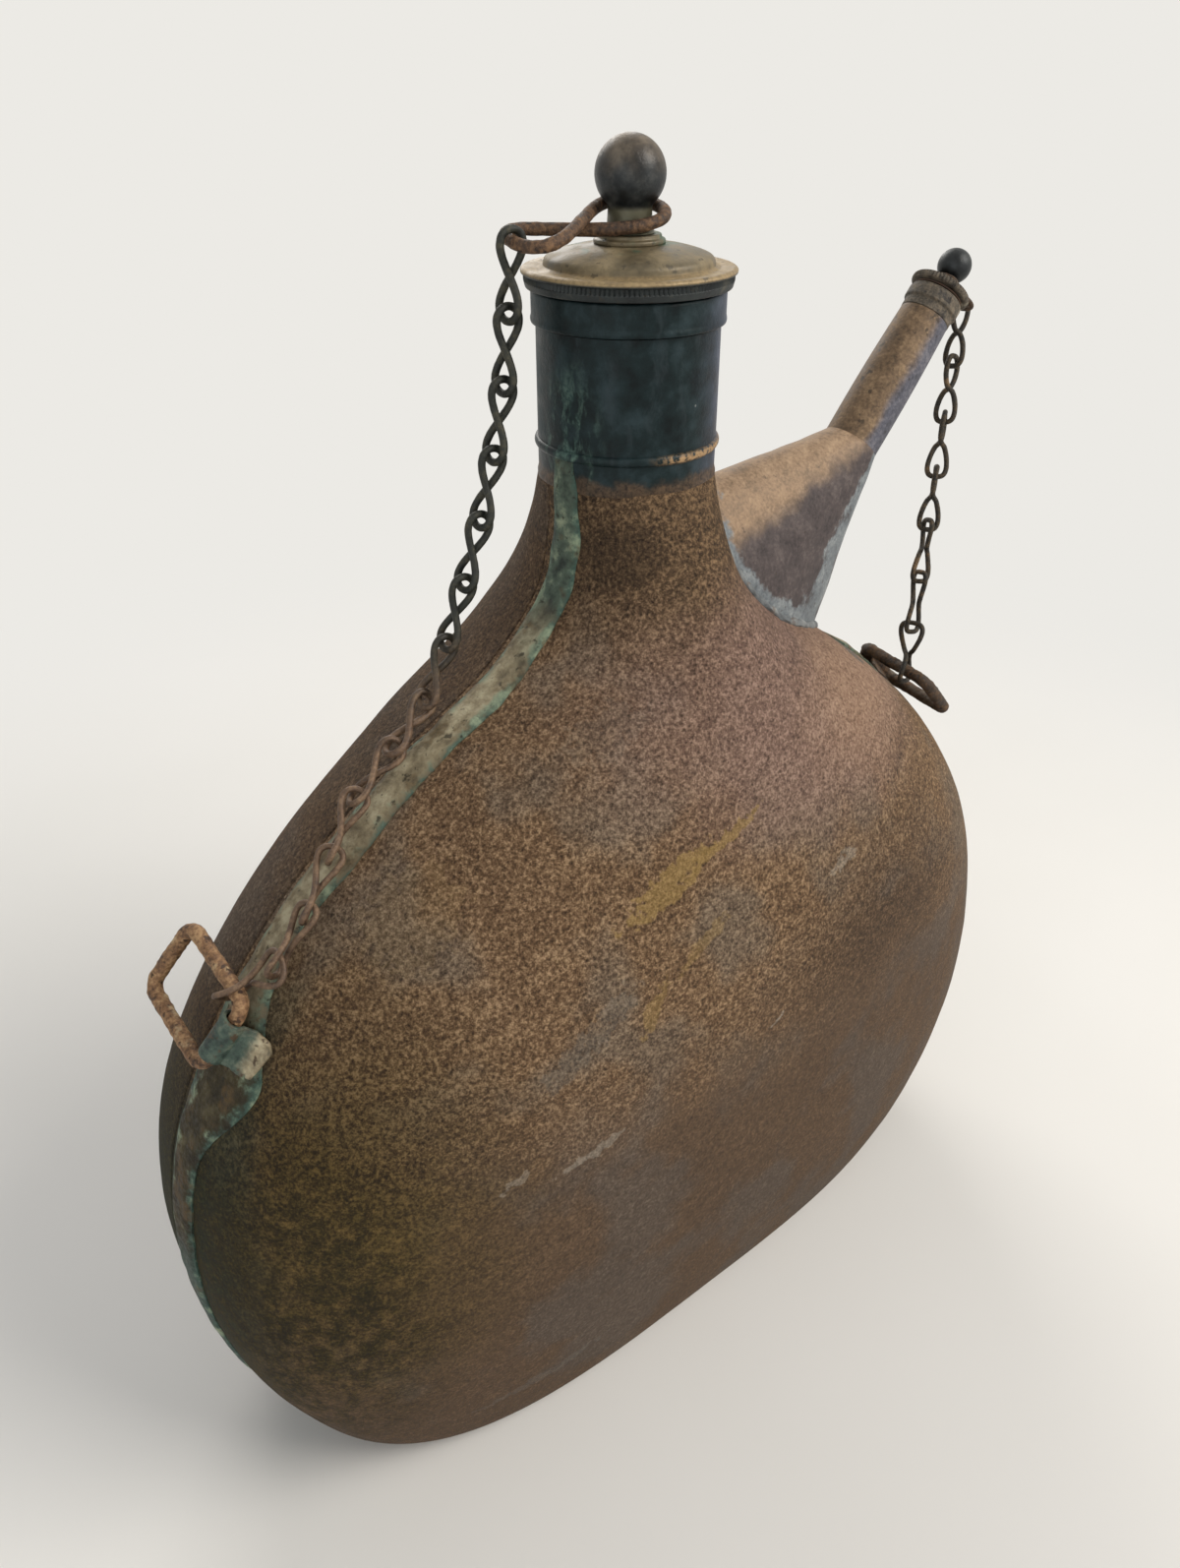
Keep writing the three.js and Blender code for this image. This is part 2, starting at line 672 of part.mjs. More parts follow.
// Clip of folded sheet: a sleeve round the hinge bar on a foot cut to the body.
const seamGuard = seamClear.intersect(
  box(vec(-far, SEAM_FRONT - GAP, -WALL), vec(far, SEAM_BACK + GAP, far)),
);
function bracket(frame) {
  const inner = LOOP_WIRE / 2 + GAP;
  const outer = inner + SLEEVE_WALL;
  const foot = new THREE.Shape(
    [
      [-FOOT_HALF, -FOOT_DEPTH],
      [FOOT_HALF, -FOOT_DEPTH],
      [FOOT_HALF, -FOOT_TIP],
      [FOOT_WAIST_SHARE * FOOT_HALF, FOOT_WAIST_RISE],
      [outer, HINGE_RISE - 2 * GAP],
      [-outer, HINGE_RISE - 2 * GAP],
      [-FOOT_WAIST_SHARE * FOOT_HALF, FOOT_WAIST_RISE],
      [-FOOT_HALF, -FOOT_TIP],
    ].map(([y, n]) => new THREE.Vector2(y, n)),
  );
  const geometry = new THREE.ExtrudeGeometry(foot, { depth: SLEEVE_LENGTH, bevelEnabled: false });
  geometry.translate(0, 0, -SLEEVE_LENGTH / 2);
  geometry.applyMatrix4(new THREE.Matrix4().makeBasis(frame.across, frame.out, frame.up));
  geometry.translate(frame.point.x, frame.point.y, frame.point.z);
  const start = frame.hinge.clone().addScaledVector(frame.up, -SLEEVE_LENGTH / 2);
  const under = start.clone().addScaledVector(frame.up, -WALL);
  const sleeve = turned(disc(outer, SLEEVE_LENGTH), SLEEVE_SIDES, start, frame.up);
  const bore = turned(disc(inner, SLEEVE_LENGTH + 2 * WALL), SLEEVE_SIDES, under, frame.up);
  return solid(geometry).add(sleeve).subtract(bore).subtract(grown).subtract(seamGuard);
}

const leftLoop = loopFrame(LEFT_LOOP);
const rightLoop = loopFrame(RIGHT_LOOP);
add("left_bracket", bracket(leftLoop), SOLDER);
add("left_strap_loop", strapLoop(leftLoop), WIRE);
add("right_bracket", bracket(rightLoop), WIRE);
add("right_strap_loop", strapLoop(rightLoop), WIRE);

// Spout tube, ferrule and stopper, by distance along the spout
const ferruleFoot = SPOUT_LENGTH + GAP;
const ferruleTop = ferruleFoot + FERRULE_LENGTH;
const capFoot = ferruleTop + SPOUT_WASHER_THICK + 2 * GAP;
const capTop = capFoot + SPOUT_FLANGE_THICK;
const spoutBall = capTop + SPOUT_SHANK_LENGTH + Math.sqrt(SPOUT_BALL_R ** 2 - SPOUT_SHANK_R ** 2);
const spoutTurned = (profile, sides) => turned(profile, sides, spoutRoot, spoutAxis);
const tipBore = SPOUT_TIP_R - SPOUT_WALL;
add(
  "spout_tube",
  spoutTurned(
    [
      [SPOUT_R - SPOUT_WALL, GAP],
      [SPOUT_R, GAP],
      [SPOUT_TIP_R, SPOUT_LENGTH],
      [tipBore, SPOUT_LENGTH],
      [SPOUT_R - SPOUT_WALL, GAP],
    ],
    SPOUT_SIDES,
  ),
  IRON,
);
add(
  "spout_ferrule",
  spoutTurned(
    [
      [tipBore, ferruleFoot],
      [FERRULE_R - EDGE, ferruleFoot],
      [FERRULE_R - EDGE, ferruleFoot + FERRULE_STEP],
      [FERRULE_R, ferruleFoot + FERRULE_STEP + EDGE],
      [FERRULE_R, ferruleTop],
      [tipBore, ferruleTop],
      [tipBore, ferruleFoot],
    ],
    SPOUT_SIDES,
  ),
  BRONZE,
);
const spoutPlugR = tipBore - PLUG_CLEAR;
const spoutPlugFoot = capFoot - GAP - SPOUT_PLUG_DEPTH;
const spoutWasher = ring(spoutPlugR + 2 * GAP, FERRULE_R - EDGE, ferruleTop + GAP, capFoot - GAP);
add("spout_washer", spoutTurned(spoutWasher, SPOUT_PLUG_SIDES), LEATHER);
const spoutPlug = [
  [0, capFoot - GAP],
  [spoutPlugR, capFoot - GAP],
  [spoutPlugR, spoutPlugFoot + EDGE],
  [spoutPlugR - EDGE, spoutPlugFoot],
  [0, spoutPlugFoot],
];
add("spout_plug", spoutTurned(spoutPlug, SPOUT_PLUG_SIDES), BRASS);
const spoutCap = [
  [0, capFoot],
  [SPOUT_FLANGE_R - EDGE, capFoot],
  [SPOUT_FLANGE_R, capFoot + EDGE],
  [SPOUT_FLANGE_R, capTop - EDGE],
  [SPOUT_FLANGE_R - EDGE, capTop],
  [0, capTop],
];
add("spout_cap", spoutTurned(spoutCap, SPOUT_SIDES), BRONZE);
const spoutKnob = knob(SPOUT_SHANK_R, SPOUT_BALL_R, capTop + GAP, spoutBall);
add("spout_knob", spoutTurned(spoutKnob, SPOUT_KNOB_SIDES), BRASS);

// Link round the spout stopper's shank, its outer loop over the far edge of the flange
const spoutRise = SPOUT_LINK_WIRE / 2 + SPOUT_LINK_CROSS;
const spoutS = vec(-spoutAxis.z, 0, spoutAxis.x);
const spoutSeat = along(capTop + SPOUT_LINK_PLAY + SPOUT_LINK_WIRE / 2 + spoutRise);
const spoutMiddle = spoutSeat.clone().addScaledVector(spoutS, -SPOUT_LINK_SEAT);
const spoutEnd = spoutMiddle.clone().addScaledVector(spoutS, -SPOUT_LINK_HALF);
const spoutEight = eight(SPOUT_LINK_HALF, SPOUT_LINK_WIDTH, spoutRise, 0);
const spoutLinkPoints = place(spoutEight, spoutMiddle, spoutS, Y_AXIS, spoutAxis);
add("spout_link", wireLoop(spoutLinkPoints, SPOUT_LINK_WIRE, THIN_SIDES, SPOUT_LINK_STEPS), WIRE);

// One chain link with its middle at a point, its upper eye towards s.
function chainLink(half, width, wire, middle, s, roll) {
  const side = Y_AXIS.clone().cross(s).normalize();
  const flat = s.clone().cross(side).normalize();
  const u = side.clone().multiplyScalar(Math.cos(roll)).addScaledVector(flat, Math.sin(roll));
  const v = flat.clone().multiplyScalar(Math.cos(roll)).addScaledVector(side, -Math.sin(roll));
  const points = place(eight(half, width, wire / 2 + LINK_CROSS, 90), middle, s, u, v);
  return wireLoop(points, wire, THIN_SIDES, CHAIN_STEPS);
}

// Links strung between joints at given distances along a path, each with its own roll.
function chain(name, path, joints, size, roll, material) {
  const length = path.getLength();
  const at = joints.map((d) => path.getPointAt(Math.min(Math.max(d / length, 0), 1)));
  for (let i = 0; i + 1 < at.length; i += 1) {
    const s = at[i].clone().sub(at[i + 1]).normalize();
    const middle = at[i].clone().lerp(at[i + 1], 0.5);
    const width = i + 2 === at.length ? size.end : size.width;
    const link = chainLink(size.half, width, size.wire, middle, s, roll(i));
    add(`${name}_${String(i + 1).padStart(2, "0")}`, link, material);
  }
}

// Left chain: hanging from the figure eight, then lying down the shoulder to the loop's upper leg
const upperLeg = (frame, reach) =>
  frame.hinge.clone().addScaledVector(frame.up, LOOP_BAR / 2).addScaledVector(frame.leg, reach);
const lyingLift = GAP + SEAM_THICK + CHAIN_REST * CHAIN_WIDTH + CHAIN_WIRE / 2;
const onShoulder = ([share, lift, y]) => {
  const { point, out } = edgeAt(share, -1);
  return point.clone().addScaledVector(out, lyingLift + lift).add(vec(0, y, 0));
};
const hangingPitch = 2 * CHAIN_HALF - CHAIN_WIRE - CHAIN_PLAY;
const eyeTop = CHAIN_HALF - (hangingPitch + CHAIN_WIRE) / 2;
const leftTop = linkEnd.clone().add(vec(0, 0, LINK_WIRE / 2 + HOOK_PLAY - eyeTop));
const hookDrop = LOOP_WIRE / 2 + HOOK_PLAY;
const leftHook = upperLeg(leftLoop, CHAIN_HOOK).addScaledVector(leftLoop.up, -hookDrop);
const landing = onShoulder(CHAIN_LANDING);
const leftPath = new THREE.CatmullRomCurve3([
  leftTop,
  ...CHAIN_SWAY.map((sway, i) => leftTop.clone().lerp(landing, (i + 1) / 3).add(vec(sway, 0, 0))),
  landing,
  ...CHAIN_LYING_ROUTE.map(onShoulder),
  leftHook,
]);
const hangingRun = CHAIN_HANGING * hangingPitch;
const lyingPitch = (leftPath.getLength() - hangingRun) / CHAIN_LYING;
const leftJoints = Array.from({ length: CHAIN_HANGING + CHAIN_LYING + 1 }, (_, i) =>
  i <= CHAIN_HANGING ? i * hangingPitch : hangingRun + (i - CHAIN_HANGING) * lyingPitch,
);
chain(
  "chain_left",
  leftPath,
  leftJoints,
  { half: CHAIN_HALF, width: CHAIN_WIDTH, end: CHAIN_END_WIDTH, wire: CHAIN_WIRE },
  (i) => rad(-45 - Math.max(i + 1 - CHAIN_HANGING, 0) * (CHAIN_ROLL / CHAIN_LYING)),
  CHAIN,
);

// Right chain: straight from the spout link to the right loop's upper leg
const rightTop = spoutEnd.clone().add(vec(0, 0, SPOUT_LINK_WIRE / 2 + RIGHT_PLAY));
const rightHook = upperLeg(rightLoop, RIGHT_HOOK).add(vec(0, 0, -hookDrop));
const rightMiddle = rightTop.clone().lerp(rightHook, 0.5);
const rightPath = new THREE.CatmullRomCurve3([rightTop, rightMiddle, rightHook]);
const rightPitch = rightPath.getLength() / RIGHT_LINKS;
chain(
  "chain_right",
  rightPath,
  Array.from({ length: RIGHT_LINKS + 1 }, (_, i) => i * rightPitch),
  { half: RIGHT_HALF, width: RIGHT_WIDTH, end: RIGHT_END_WIDTH, wire: RIGHT_WIRE },
  (i) => rad(-45 + i * (90 / (RIGHT_LINKS - 1))),
  CHAIN,
);

export default group;
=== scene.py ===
"""Looks of a rusted field canteen with a chained stopper, a side spout and wire strap loops."""
import json
import math

import bmesh
import bpy
import numpy as np
from mathutils import Matrix, Vector, noise


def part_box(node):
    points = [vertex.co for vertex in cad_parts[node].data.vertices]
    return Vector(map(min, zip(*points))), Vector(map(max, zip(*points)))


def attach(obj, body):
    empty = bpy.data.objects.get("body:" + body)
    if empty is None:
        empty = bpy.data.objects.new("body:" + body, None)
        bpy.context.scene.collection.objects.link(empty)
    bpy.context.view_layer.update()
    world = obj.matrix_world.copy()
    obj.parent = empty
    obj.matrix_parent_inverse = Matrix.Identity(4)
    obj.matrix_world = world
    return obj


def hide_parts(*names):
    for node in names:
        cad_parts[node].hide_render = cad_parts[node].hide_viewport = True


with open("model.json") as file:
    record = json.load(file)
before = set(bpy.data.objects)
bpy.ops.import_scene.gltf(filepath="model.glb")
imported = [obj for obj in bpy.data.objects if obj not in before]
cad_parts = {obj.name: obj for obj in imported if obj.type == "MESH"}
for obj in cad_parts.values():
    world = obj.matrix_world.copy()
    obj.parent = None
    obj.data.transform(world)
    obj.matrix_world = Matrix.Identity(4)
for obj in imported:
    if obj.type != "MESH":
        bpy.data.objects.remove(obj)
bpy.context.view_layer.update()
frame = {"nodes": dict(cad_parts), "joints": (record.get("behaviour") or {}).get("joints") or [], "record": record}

# Sizes in millimetres, with counts, shares and angles
MM = 0.001
NECK_R = 18.0
NECK_BORE_R = 15.8
RIM_R = 19.0
FLANGE_R = 20.6
DOME_R = 16.4
COLLAR_R = 6.8
SHANK_R = 4.2
BALL_R = 6.6
SPIGOT_IN = 1.3
RIM_SEAT_IN = 0.8
BEAD_OUT = 0.75
BEAD_HALF = 0.95
BEAD_ABOVE_BODY = 5.7
LIP_ABOVE_CAP = 2.5
DARK_EDGE = 1.8
SKIRT_CLEAR = 0.25
KNURL_DEPTH = 0.34
KNURL_TEETH = 140
SPOUT_KNURL_DEPTH = 0.14
SPOUT_TEETH = 54
WALL = 1.0
SQUARENESS = 1.3
SQUARE_FADE = 1.6
PARTING_Y = 3.0
PARTING_GAP = 0.3
SEAM_FRONT = -7.5
SEAM_BACK = 1.5
SEAM_NARROWS = 200.0
SEAM_ON_NECK = 5.2
SEAM_SPREAD = 9.0
SEAM_SPREAD_Z = 128.0
SEAM_SPREAD_SPAN = 12.0
SEAM_FRONT_DRAWN = 2.2
SEAM_BACK_DRAWN = 1.2
SEAM_END = 5.0
SEAM_LEAST = 0.12
SEAM_CROWN = 0.75
SEAM_SUNK = 0.5
SPOUT_R = 6.75
SPOUT_WALL = 0.9
SPOUT_ROOT_TO_FOOT = (-26.5, 0.0, -21.3)
SPOUT_FOOT_HALF = 28.0
SPOUT_FOOT_WIDE = 13.0
SPOUT_FOOT_SLOPE = 52.0
SPOUT_CREASE = 0.35
SPOUT_CREASE_TURN = 1.12
SPOUT_SWELL = 0.25
SPOUT_SOLDER_WIRE = 2.2
SPOUT_SOLDER_BAND = 8.0
SPOUT_SOLDER_TIP = 9.0
SPOUT_SHANK_R = 1.75
FERRULE_PROUD = 0.6
LINK_WIRE = 2.35
SPOUT_LINK_WIRE = 1.2
LEFT_WIRE = 1.5
LYING_WIRE = 1.3
FIRST_LYING = "chain_left_09"
RIGHT_WIRE = 1.3
LOOP_WIRE = 3.2
LOOP_CORNER = 3.2
SLEEVE_WALL = 0.8
SLEEVE_CLEAR = 0.3
SLEEVE_LENGTH = 10.0
SLEEVE_WRAP = (212, -32)
FOOT_REACH = 7.4
FOOT_START = 3.0
FOOT_DROP = 16.0
FOOT_LIFT = 0.6
FOOT_RAISED = 1.2
EDGE_BEVEL = 0.2
CROSSING_GAP = 0.15
CHAIN_DARK_Z = 205.0
CHAIN_RUSTY_Z = 180.0
CHAIN_FLAKE = 0.05
LINK_FLAKE = 0.08
SPOUT_LINK_FLAKE = 0.06
LOOP_FLAKE = 0.1
SOLDER_FLAKE = 0.32
RIGHT_SQUARE = 0.6

# Dome of the stopper cap: shares of its width and of its height
DOME_SHARES = ((1, 0.1), (0.96, 0.4), (0.86, 0.56), (0.45, 0.84), (0, 1))

# Dents: depth, size and seed, and how far from base, collar and parting the body's fade
BODY_DENTS = ((0.6, 46, 3.1), (0.14, 15, 8.4), (0.05, 5, 1.7))
SPOUT_DENTS = ((0.35, 14, 4.4), (0.15, 5, 2.2))
NECK_DENTS = ((0.12, 9, 5.5),)
DENT_FADES = (12, 14, 9)

# Rings of the base, as shares of its outline
BASE_SHARES = (0.96, 0.7, 0.4, 0.1)

# Rows and columns of the sheets
BODY_GRID = (150, 190)
SEAM_GRID = (190, 13)
SPOUT_GRID = (46, 120)

# Floor in millimetres: flat radius, radius of its curve, and where it turns evenly pale
FLOOR_FLAT = 900
FLOOR_CURVE = 900
PALE_FROM = 220
PALE_FULL = 560

# Even light from all round, and lamps in metres and watts: name, place, target, size, power and colour
SKY_COLOUR = (0.9, 0.92, 0.95, 1.0)
SKY_STRENGTH = 0.36
LAMPS = (
    ("key", (0.55, -0.75, 0.95), (0.0, 0.0, 0.14), 0.7, 11.6, (1.0, 0.96, 0.9)),
    ("fill", (-0.95, -0.55, 0.5), (0.0, 0.0, 0.12), 0.9, 2.2, (0.92, 0.96, 1.0)),
    ("rim", (0.35, 0.8, 0.7), (0.0, 0.0, 0.18), 0.6, 4.5, (1.0, 0.97, 0.93)),
)

# Camera fitted to the photograph: pixels, then sensor in millimetres, then metres and directions
FOCAL_PIXELS = 1186.76
FRAME_PIXELS = 1594
SENSOR = 36.0
NEAR_LIMIT = 0.01
CAMERA_PLACE = (-0.1548, -0.1826, 0.2999)
CAMERA_RIGHT = (0.7823, -0.6230, -0.0017)
CAMERA_AHEAD = (0.5275, 0.6638, -0.5303)

# Direction from the spout towards the camera, which sets the side of the spout tube's painted reflection
SPOUT_TO_CAMERA = (-0.53, -0.66, 0.53)

# Body outline: shares of the height, of the width and of the depth beyond the neck
STATIONS = (
    (0, 0.73, 0.61), (0.02, 0.78, 0.67), (0.055, 0.84, 0.74), (0.11, 0.9, 0.82),
    (0.185, 0.96, 0.9), (0.27, 0.995, 0.97), (0.37, 1, 1), (0.475, 0.955, 1),
    (0.575, 0.845, 0.96), (0.675, 0.67, 0.82), (0.77, 0.415, 0.63), (0.84, 0.16, 0.49),
    (0.9, 0.035, 0.31), (0.955, 0.003, 0.125), (1, 0, 0),
)


def node_points(node):
    """Corners of a CAD node in millimetres."""
    return np.array([v.co for v in frame["nodes"][node].data.vertices], float) / MM


def heights(node):
    """Lowest and highest Z of a CAD node in millimetres."""
    low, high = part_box(node)
    return low.z / MM, high.z / MM


def joint(name):
    """Place in millimetres, for a hinge, and axis of a joint."""
    found = next(j for j in frame["joints"] if j["name"] == name)
    return np.array(found.get("pos_m", (0, 0, 0))) / MM, unit(found["axis"])


def unit(vector):
    vector = np.asarray(vector, float)
    return vector / np.linalg.norm(vector, axis=-1, keepdims=True)


def bumps(points, size, seed=0.0):
    """Smooth noise from -1 to 1 at points, with features of about the given size."""
    shift = Vector((seed, 2 * seed, -seed))
    return np.array([noise.noise(Vector(p) / size + shift) for p in points])


def dents(points, table):
    """Sum of smooth noises from rows of depth, size and seed."""
    return sum(depth * bumps(points, size, seed) for depth, size, seed in table)


# Materials

def rgb(red, green, blue):
    """Linear colour from the usual 0 to 255 values."""
    def line(value):
        share = value / 255
        return share / 12.92 if share <= 0.04045 else ((share + 0.055) / 1.055) ** 2.4
    return (line(red), line(green), line(blue), 1.0)


PALE = rgb(236, 234, 229)


class Paint:
    """A procedural material built node by node, with sizes in millimetres and a colour laid in coats."""

    def __init__(self, name, metal=0.0, specular=0.5):
        self.material = bpy.data.materials.new(name)
        self.material.use_nodes = True
        self.tree = self.material.node_tree
        self.shader = self.tree.nodes["Principled BSDF"]
        self.shader.inputs["Metallic"].default_value = metal
        self.shader.inputs["Specular IOR Level"].default_value = specular
        self.place = self.add("ShaderNodeTexCoord").outputs["Object"]
        self.colour = None

    def add(self, kind, feeds=None, **settings):
        """Adds a node with settings, and values or sockets fed to its inputs."""
        node = self.tree.nodes.new(kind)
        for key, value in settings.items():
            setattr(node, key, value)
        for key, value in (feeds or {}).items():
            self.feed(node.inputs[key], value)
        return node

    def feed(self, socket, value):
        if isinstance(value, bpy.types.NodeSocket):
            self.tree.links.new(value, socket)
        else:
            socket.default_value = value

    def noise(self, size, detail=4.0, rough=0.55, place=None, colour=False):
        """Cloudy noise with features of about size millimetres."""
        feeds = {"Vector": place or self.place, "Scale": 1 / (size * MM),
                 "Detail": detail, "Roughness": rough}
        return self.add("ShaderNodeTexNoise", feeds).outputs["Color" if colour else "Fac"]

    def cells(self, size, place=None):
        """Distance to the nearest of scattered points, in shares of size."""
        feeds = {"Vector": place or self.place, "Scale": 1 / (size * MM)}
        return self.add("ShaderNodeTexVoronoi", feeds).outputs["Distance"]

    def maths(self, operation, a, b=0.0):
        return self.add("ShaderNodeMath", {0: a, 1: b}, operation=operation).outputs[0]

    def times(self, a, b):
        return self.maths("MULTIPLY", a, b)

    def weigh(self, a, share_a, b, share_b):
        """Sum of two values, each times its share."""
        return self.maths("ADD", self.times(a, share_a), self.times(b, share_b))

    def swing(self, texture, reach):
        """A texture taken about its middle, times reach."""
        return self.times(self.maths("SUBTRACT", texture, 0.5), reach)

    def vector(self, operation, a, b):
        node = self.add("ShaderNodeVectorMath", {0: a, 1: b}, operation=operation)
        return node.outputs["Value" if operation in ("LENGTH", "DOT_PRODUCT") else "Vector"]

    def step(self, value, low, high, start=0.0, end=1.0):
        """Smooth change from start to end as value goes from low to high."""
        feeds = {"Value": value, "From Min": low, "From Max": high, "To Min": start, "To Max": end}
        return self.add("ShaderNodeMapRange", feeds, interpolation_type="SMOOTHSTEP").outputs["Result"]

    def ramp(self, value, *stops):
        """Colour along stops of (position, red, green, blue)."""
        node = self.add("ShaderNodeValToRGB", {"Fac": value})
        elements = node.color_ramp.elements
        while len(elements) < len(stops):
            elements.new(0.5)
        for element, (position, *tone) in zip(elements, stops):
            element.position = position
            element.color = rgb(*tone)
        return node.outputs["Color"]

    def mix(self, share, a, b):
        """Colour a where share is 0 and b where it is 1."""
        return self.add("ShaderNodeMix", {0: share, 6: a, 7: b}, data_type="RGBA").outputs[2]

    def lay(self, share, tone):
        """Lays a tone over the colour. share may be the terms of a step, and tone red, green and blue."""
        if isinstance(share, tuple):
            share = self.step(*share)
        if isinstance(tone, tuple):
            tone = rgb(*tone)
        self.colour = self.mix(share, self.colour, tone)

    def warped(self, size, amount):
        """Places shifted by noise, for ragged edges."""
        cloud = self.noise(size, 3.0, colour=True)
        middle = self.vector("SUBTRACT", cloud, (0.5, 0.5, 0.5))
        reach = (2 * amount * MM,) * 3
        return self.vector("ADD", self.place, self.vector("MULTIPLY", middle, reach))

    def stretched(self, place, centre, sizes, turn):
        """Places counted from centre in shares of sizes, along axes turned up to the right."""
        tilt = (0.0, math.radians(-turn), 0.0)
        centre, sizes = (tuple(v * MM for v in terms) for terms in (centre, sizes))
        feeds = {"Vector": place, "Location": centre, "Rotation": tilt, "Scale": sizes}
        return self.add("ShaderNodeMapping", feeds, vector_type="TEXTURE").outputs["Vector"]

    def zone(self, place, centre, radii, turn=0.0, soft=0.5):
        """1 inside a ball stretched to radii and turned up to the right, fading to 0 outside it."""
        reach = self.vector("LENGTH", self.stretched(place, centre, radii, turn), (0.0, 0.0, 0.0))
        return self.step(reach, 1 - soft, 1 + soft, 1.0, 0.0)

    def streaks(self, length, width, turn):
        """Noise drawn out along lines that rise to the right, sizes in millimetres."""
        drawn = self.stretched(self.place, (0, 0, 0), (length, length, width), turn)
        return self.noise(1 / MM, 3.0, 0.55, drawn)

    def coordinate(self, axis, place=None):
        """One coordinate in millimetres."""
        node = self.add("ShaderNodeSeparateXYZ", {0: place or self.place})
        return self.times(node.outputs[axis], 1 / MM)

    def ragged(self, axis, size, amount):
        """One coordinate in millimetres, shifted by noise."""
        return self.coordinate(axis, self.warped(size, amount))

    def value(self, name):
        """A number stored on the piece's corners."""
        return self.add("ShaderNodeAttribute", attribute_name=name).outputs["Fac"]

    def broken(self, share, texture):
        """A patch whose edge and middle are broken up by a texture."""
        torn = self.maths("ADD", share, self.swing(texture, 2.6))
        return self.times(self.step(torn, 0.4, 0.75), self.step(share, 0.03, 0.25))

    def relief(self, height, depth, strength=1.0, under=None):
        """Bump of a height field, depth in millimetres."""
        feeds = {"Height": height, "Distance": depth * MM, "Strength": strength}
        if under:
            feeds["Normal"] = under
        return self.add("ShaderNodeBump", feeds).outputs["Normal"]

    def done(self, rough, fine, coarse=None):
        """The finished material, from a roughness, or a step to it, and from a fine and a coarse relief."""
        under = self.relief(*coarse) if coarse else None
        rough = self.step(*rough) if isinstance(rough, tuple) else rough
        self.feed(self.shader.inputs["Base Color"], self.colour)
        self.feed(self.shader.inputs["Roughness"], rough)
        self.feed(self.shader.inputs["Normal"], self.relief(*fine, under))
        return self.material


def front_fields(p, mixed, ragged, smooth, moss_with_painted_shade, gold):
    """Broad fields of colour on the front, the tan one on the right shoulder partly painted light, and olive
    clumps low on its left, dark olive rust that is partly painted shade.
    """
    purple = p.ramp(mixed, (0.3, 74, 57, 50), (0.5, 131, 105, 92), (0.7, 185, 155, 138))
    # Tan, lighter than the rust around it: partly painted light on the right shoulder
    tan = p.ramp(mixed, (0.3, 112, 87, 69), (0.5, 165, 133, 111), (0.7, 202, 172, 146))
    throat = p.ramp(mixed, (0.3, 40, 32, 25), (0.5, 94, 75, 57), (0.7, 158, 129, 97))
    # Dark olive rust, partly painted shade low on the left
    olive = p.ramp(mixed, (0.38, 20, 18, 11), (0.5, 42, 37, 23), (0.62, 76, 64, 36))
    teal = p.ramp(mixed, (0.36, 38, 46, 38), (0.5, 58, 64, 52), (0.66, 86, 92, 76))
    # The tan field on the right shoulder is partly painted light; the moss field far left is partly painted shade
    fields = (
        (purple, (34, -30, 184), (58, 34, 30), 0.45), (tan, (50, -26, 174), (28, 24, 15), 0.5),
        (throat, (0, -6, 222), (34, 30, 24), 0.5), (smooth, (44, -50, 114), (30, 26, 24), 0.8),
        (gold, (-103, -34, 100), (30, 34, 46), 0.8), (moss_with_painted_shade, (-123, -6, 88), (12, 20, 62), 0.5),
        (teal, (-105, -11, 130), (10, 7, 24), 0.8),
    )
    for paint, centre, radii, soft in fields:
        p.lay(p.zone(ragged, centre, radii, 0.0, soft), paint)
    clumps = p.step(p.noise(4.5, 5.0, 0.7), 0.36, 0.62)
    for centre, radii in (((-118, -26, 70), (24, 32, 60)), ((-100, -38, 84), (13, 14, 22))):
        p.lay(p.times(p.zone(ragged, centre, radii, 0.0, 0.8), clumps), olive)


def front_marks(p, grain, speck, gold):
    """Small stained, tinned and worn marks on the front: tone, place, radii, turn and strength."""
    torn = p.warped(4.0, 2.4)
    ochre = p.ramp(grain, (0.35, 126, 100, 58), (0.62, 180, 150, 96))
    tin = p.ramp(grain, (0.35, 84, 80, 74), (0.62, 126, 122, 114))
    pale = p.ramp(grain, (0.35, 130, 122, 108), (0.6, 190, 182, 168))
    dark = p.ramp(grain, (0.35, 38, 30, 24), (0.62, 74, 60, 48))
    marks = (
        (ochre, (-25, -45, 157.5), (12, 10, 3.2), 24.0, 0.75),
        (ochre, (-10, -44, 162), (12, 9, 1.3), 18.0, 0.7),
        (ochre, (-33, -51, 133), (7, 6, 2), 55.0, 0.5),
        (ochre, (-19, -49, 143), (8, 6, 2), 30.0, 0.4),
        (tin, (-48, -48, 132), (14, 9, 3.4), 33.0, 0.35),
        (tin, (-28, -29, 187), (9, 9, 4), 25.0, 0.2),
        (ochre, (-72, -24, 160), (12, 12, 7), 40.0, 0.12),
        (gold, (-109, -32, 82), (8, 8, 2), 6.0, 0.35),
        (tin, (-60, -46, 24), (20, 12, 2.0), 8.0, 0.25),
        (pale, (-67, -48, 104), (4, 6, 1.1), 25.0, 0.25),
        (pale, (-49, -51, 103.5), (8, 6, 1.2), 14.0, 0.3),
        (pale, (2, -54, 112), (3, 6, 0.7), 35.0, 0.5),
        (pale, (25.5, -48.6, 144), (5.0, 4, 2.0), 10.0, 0.4),
        (dark, (-14, -14, 216), (12, 10, 6), 0.0, 0.5),
        (tin, (63, -8, 171), (7, 10, 6), -50.0, 0.85),
    )
    for paint, centre, radii, turn, share in marks:
        patch = p.broken(p.zone(torn, centre, radii, turn, 0.6), speck)
        p.lay(p.times(patch, share), paint)


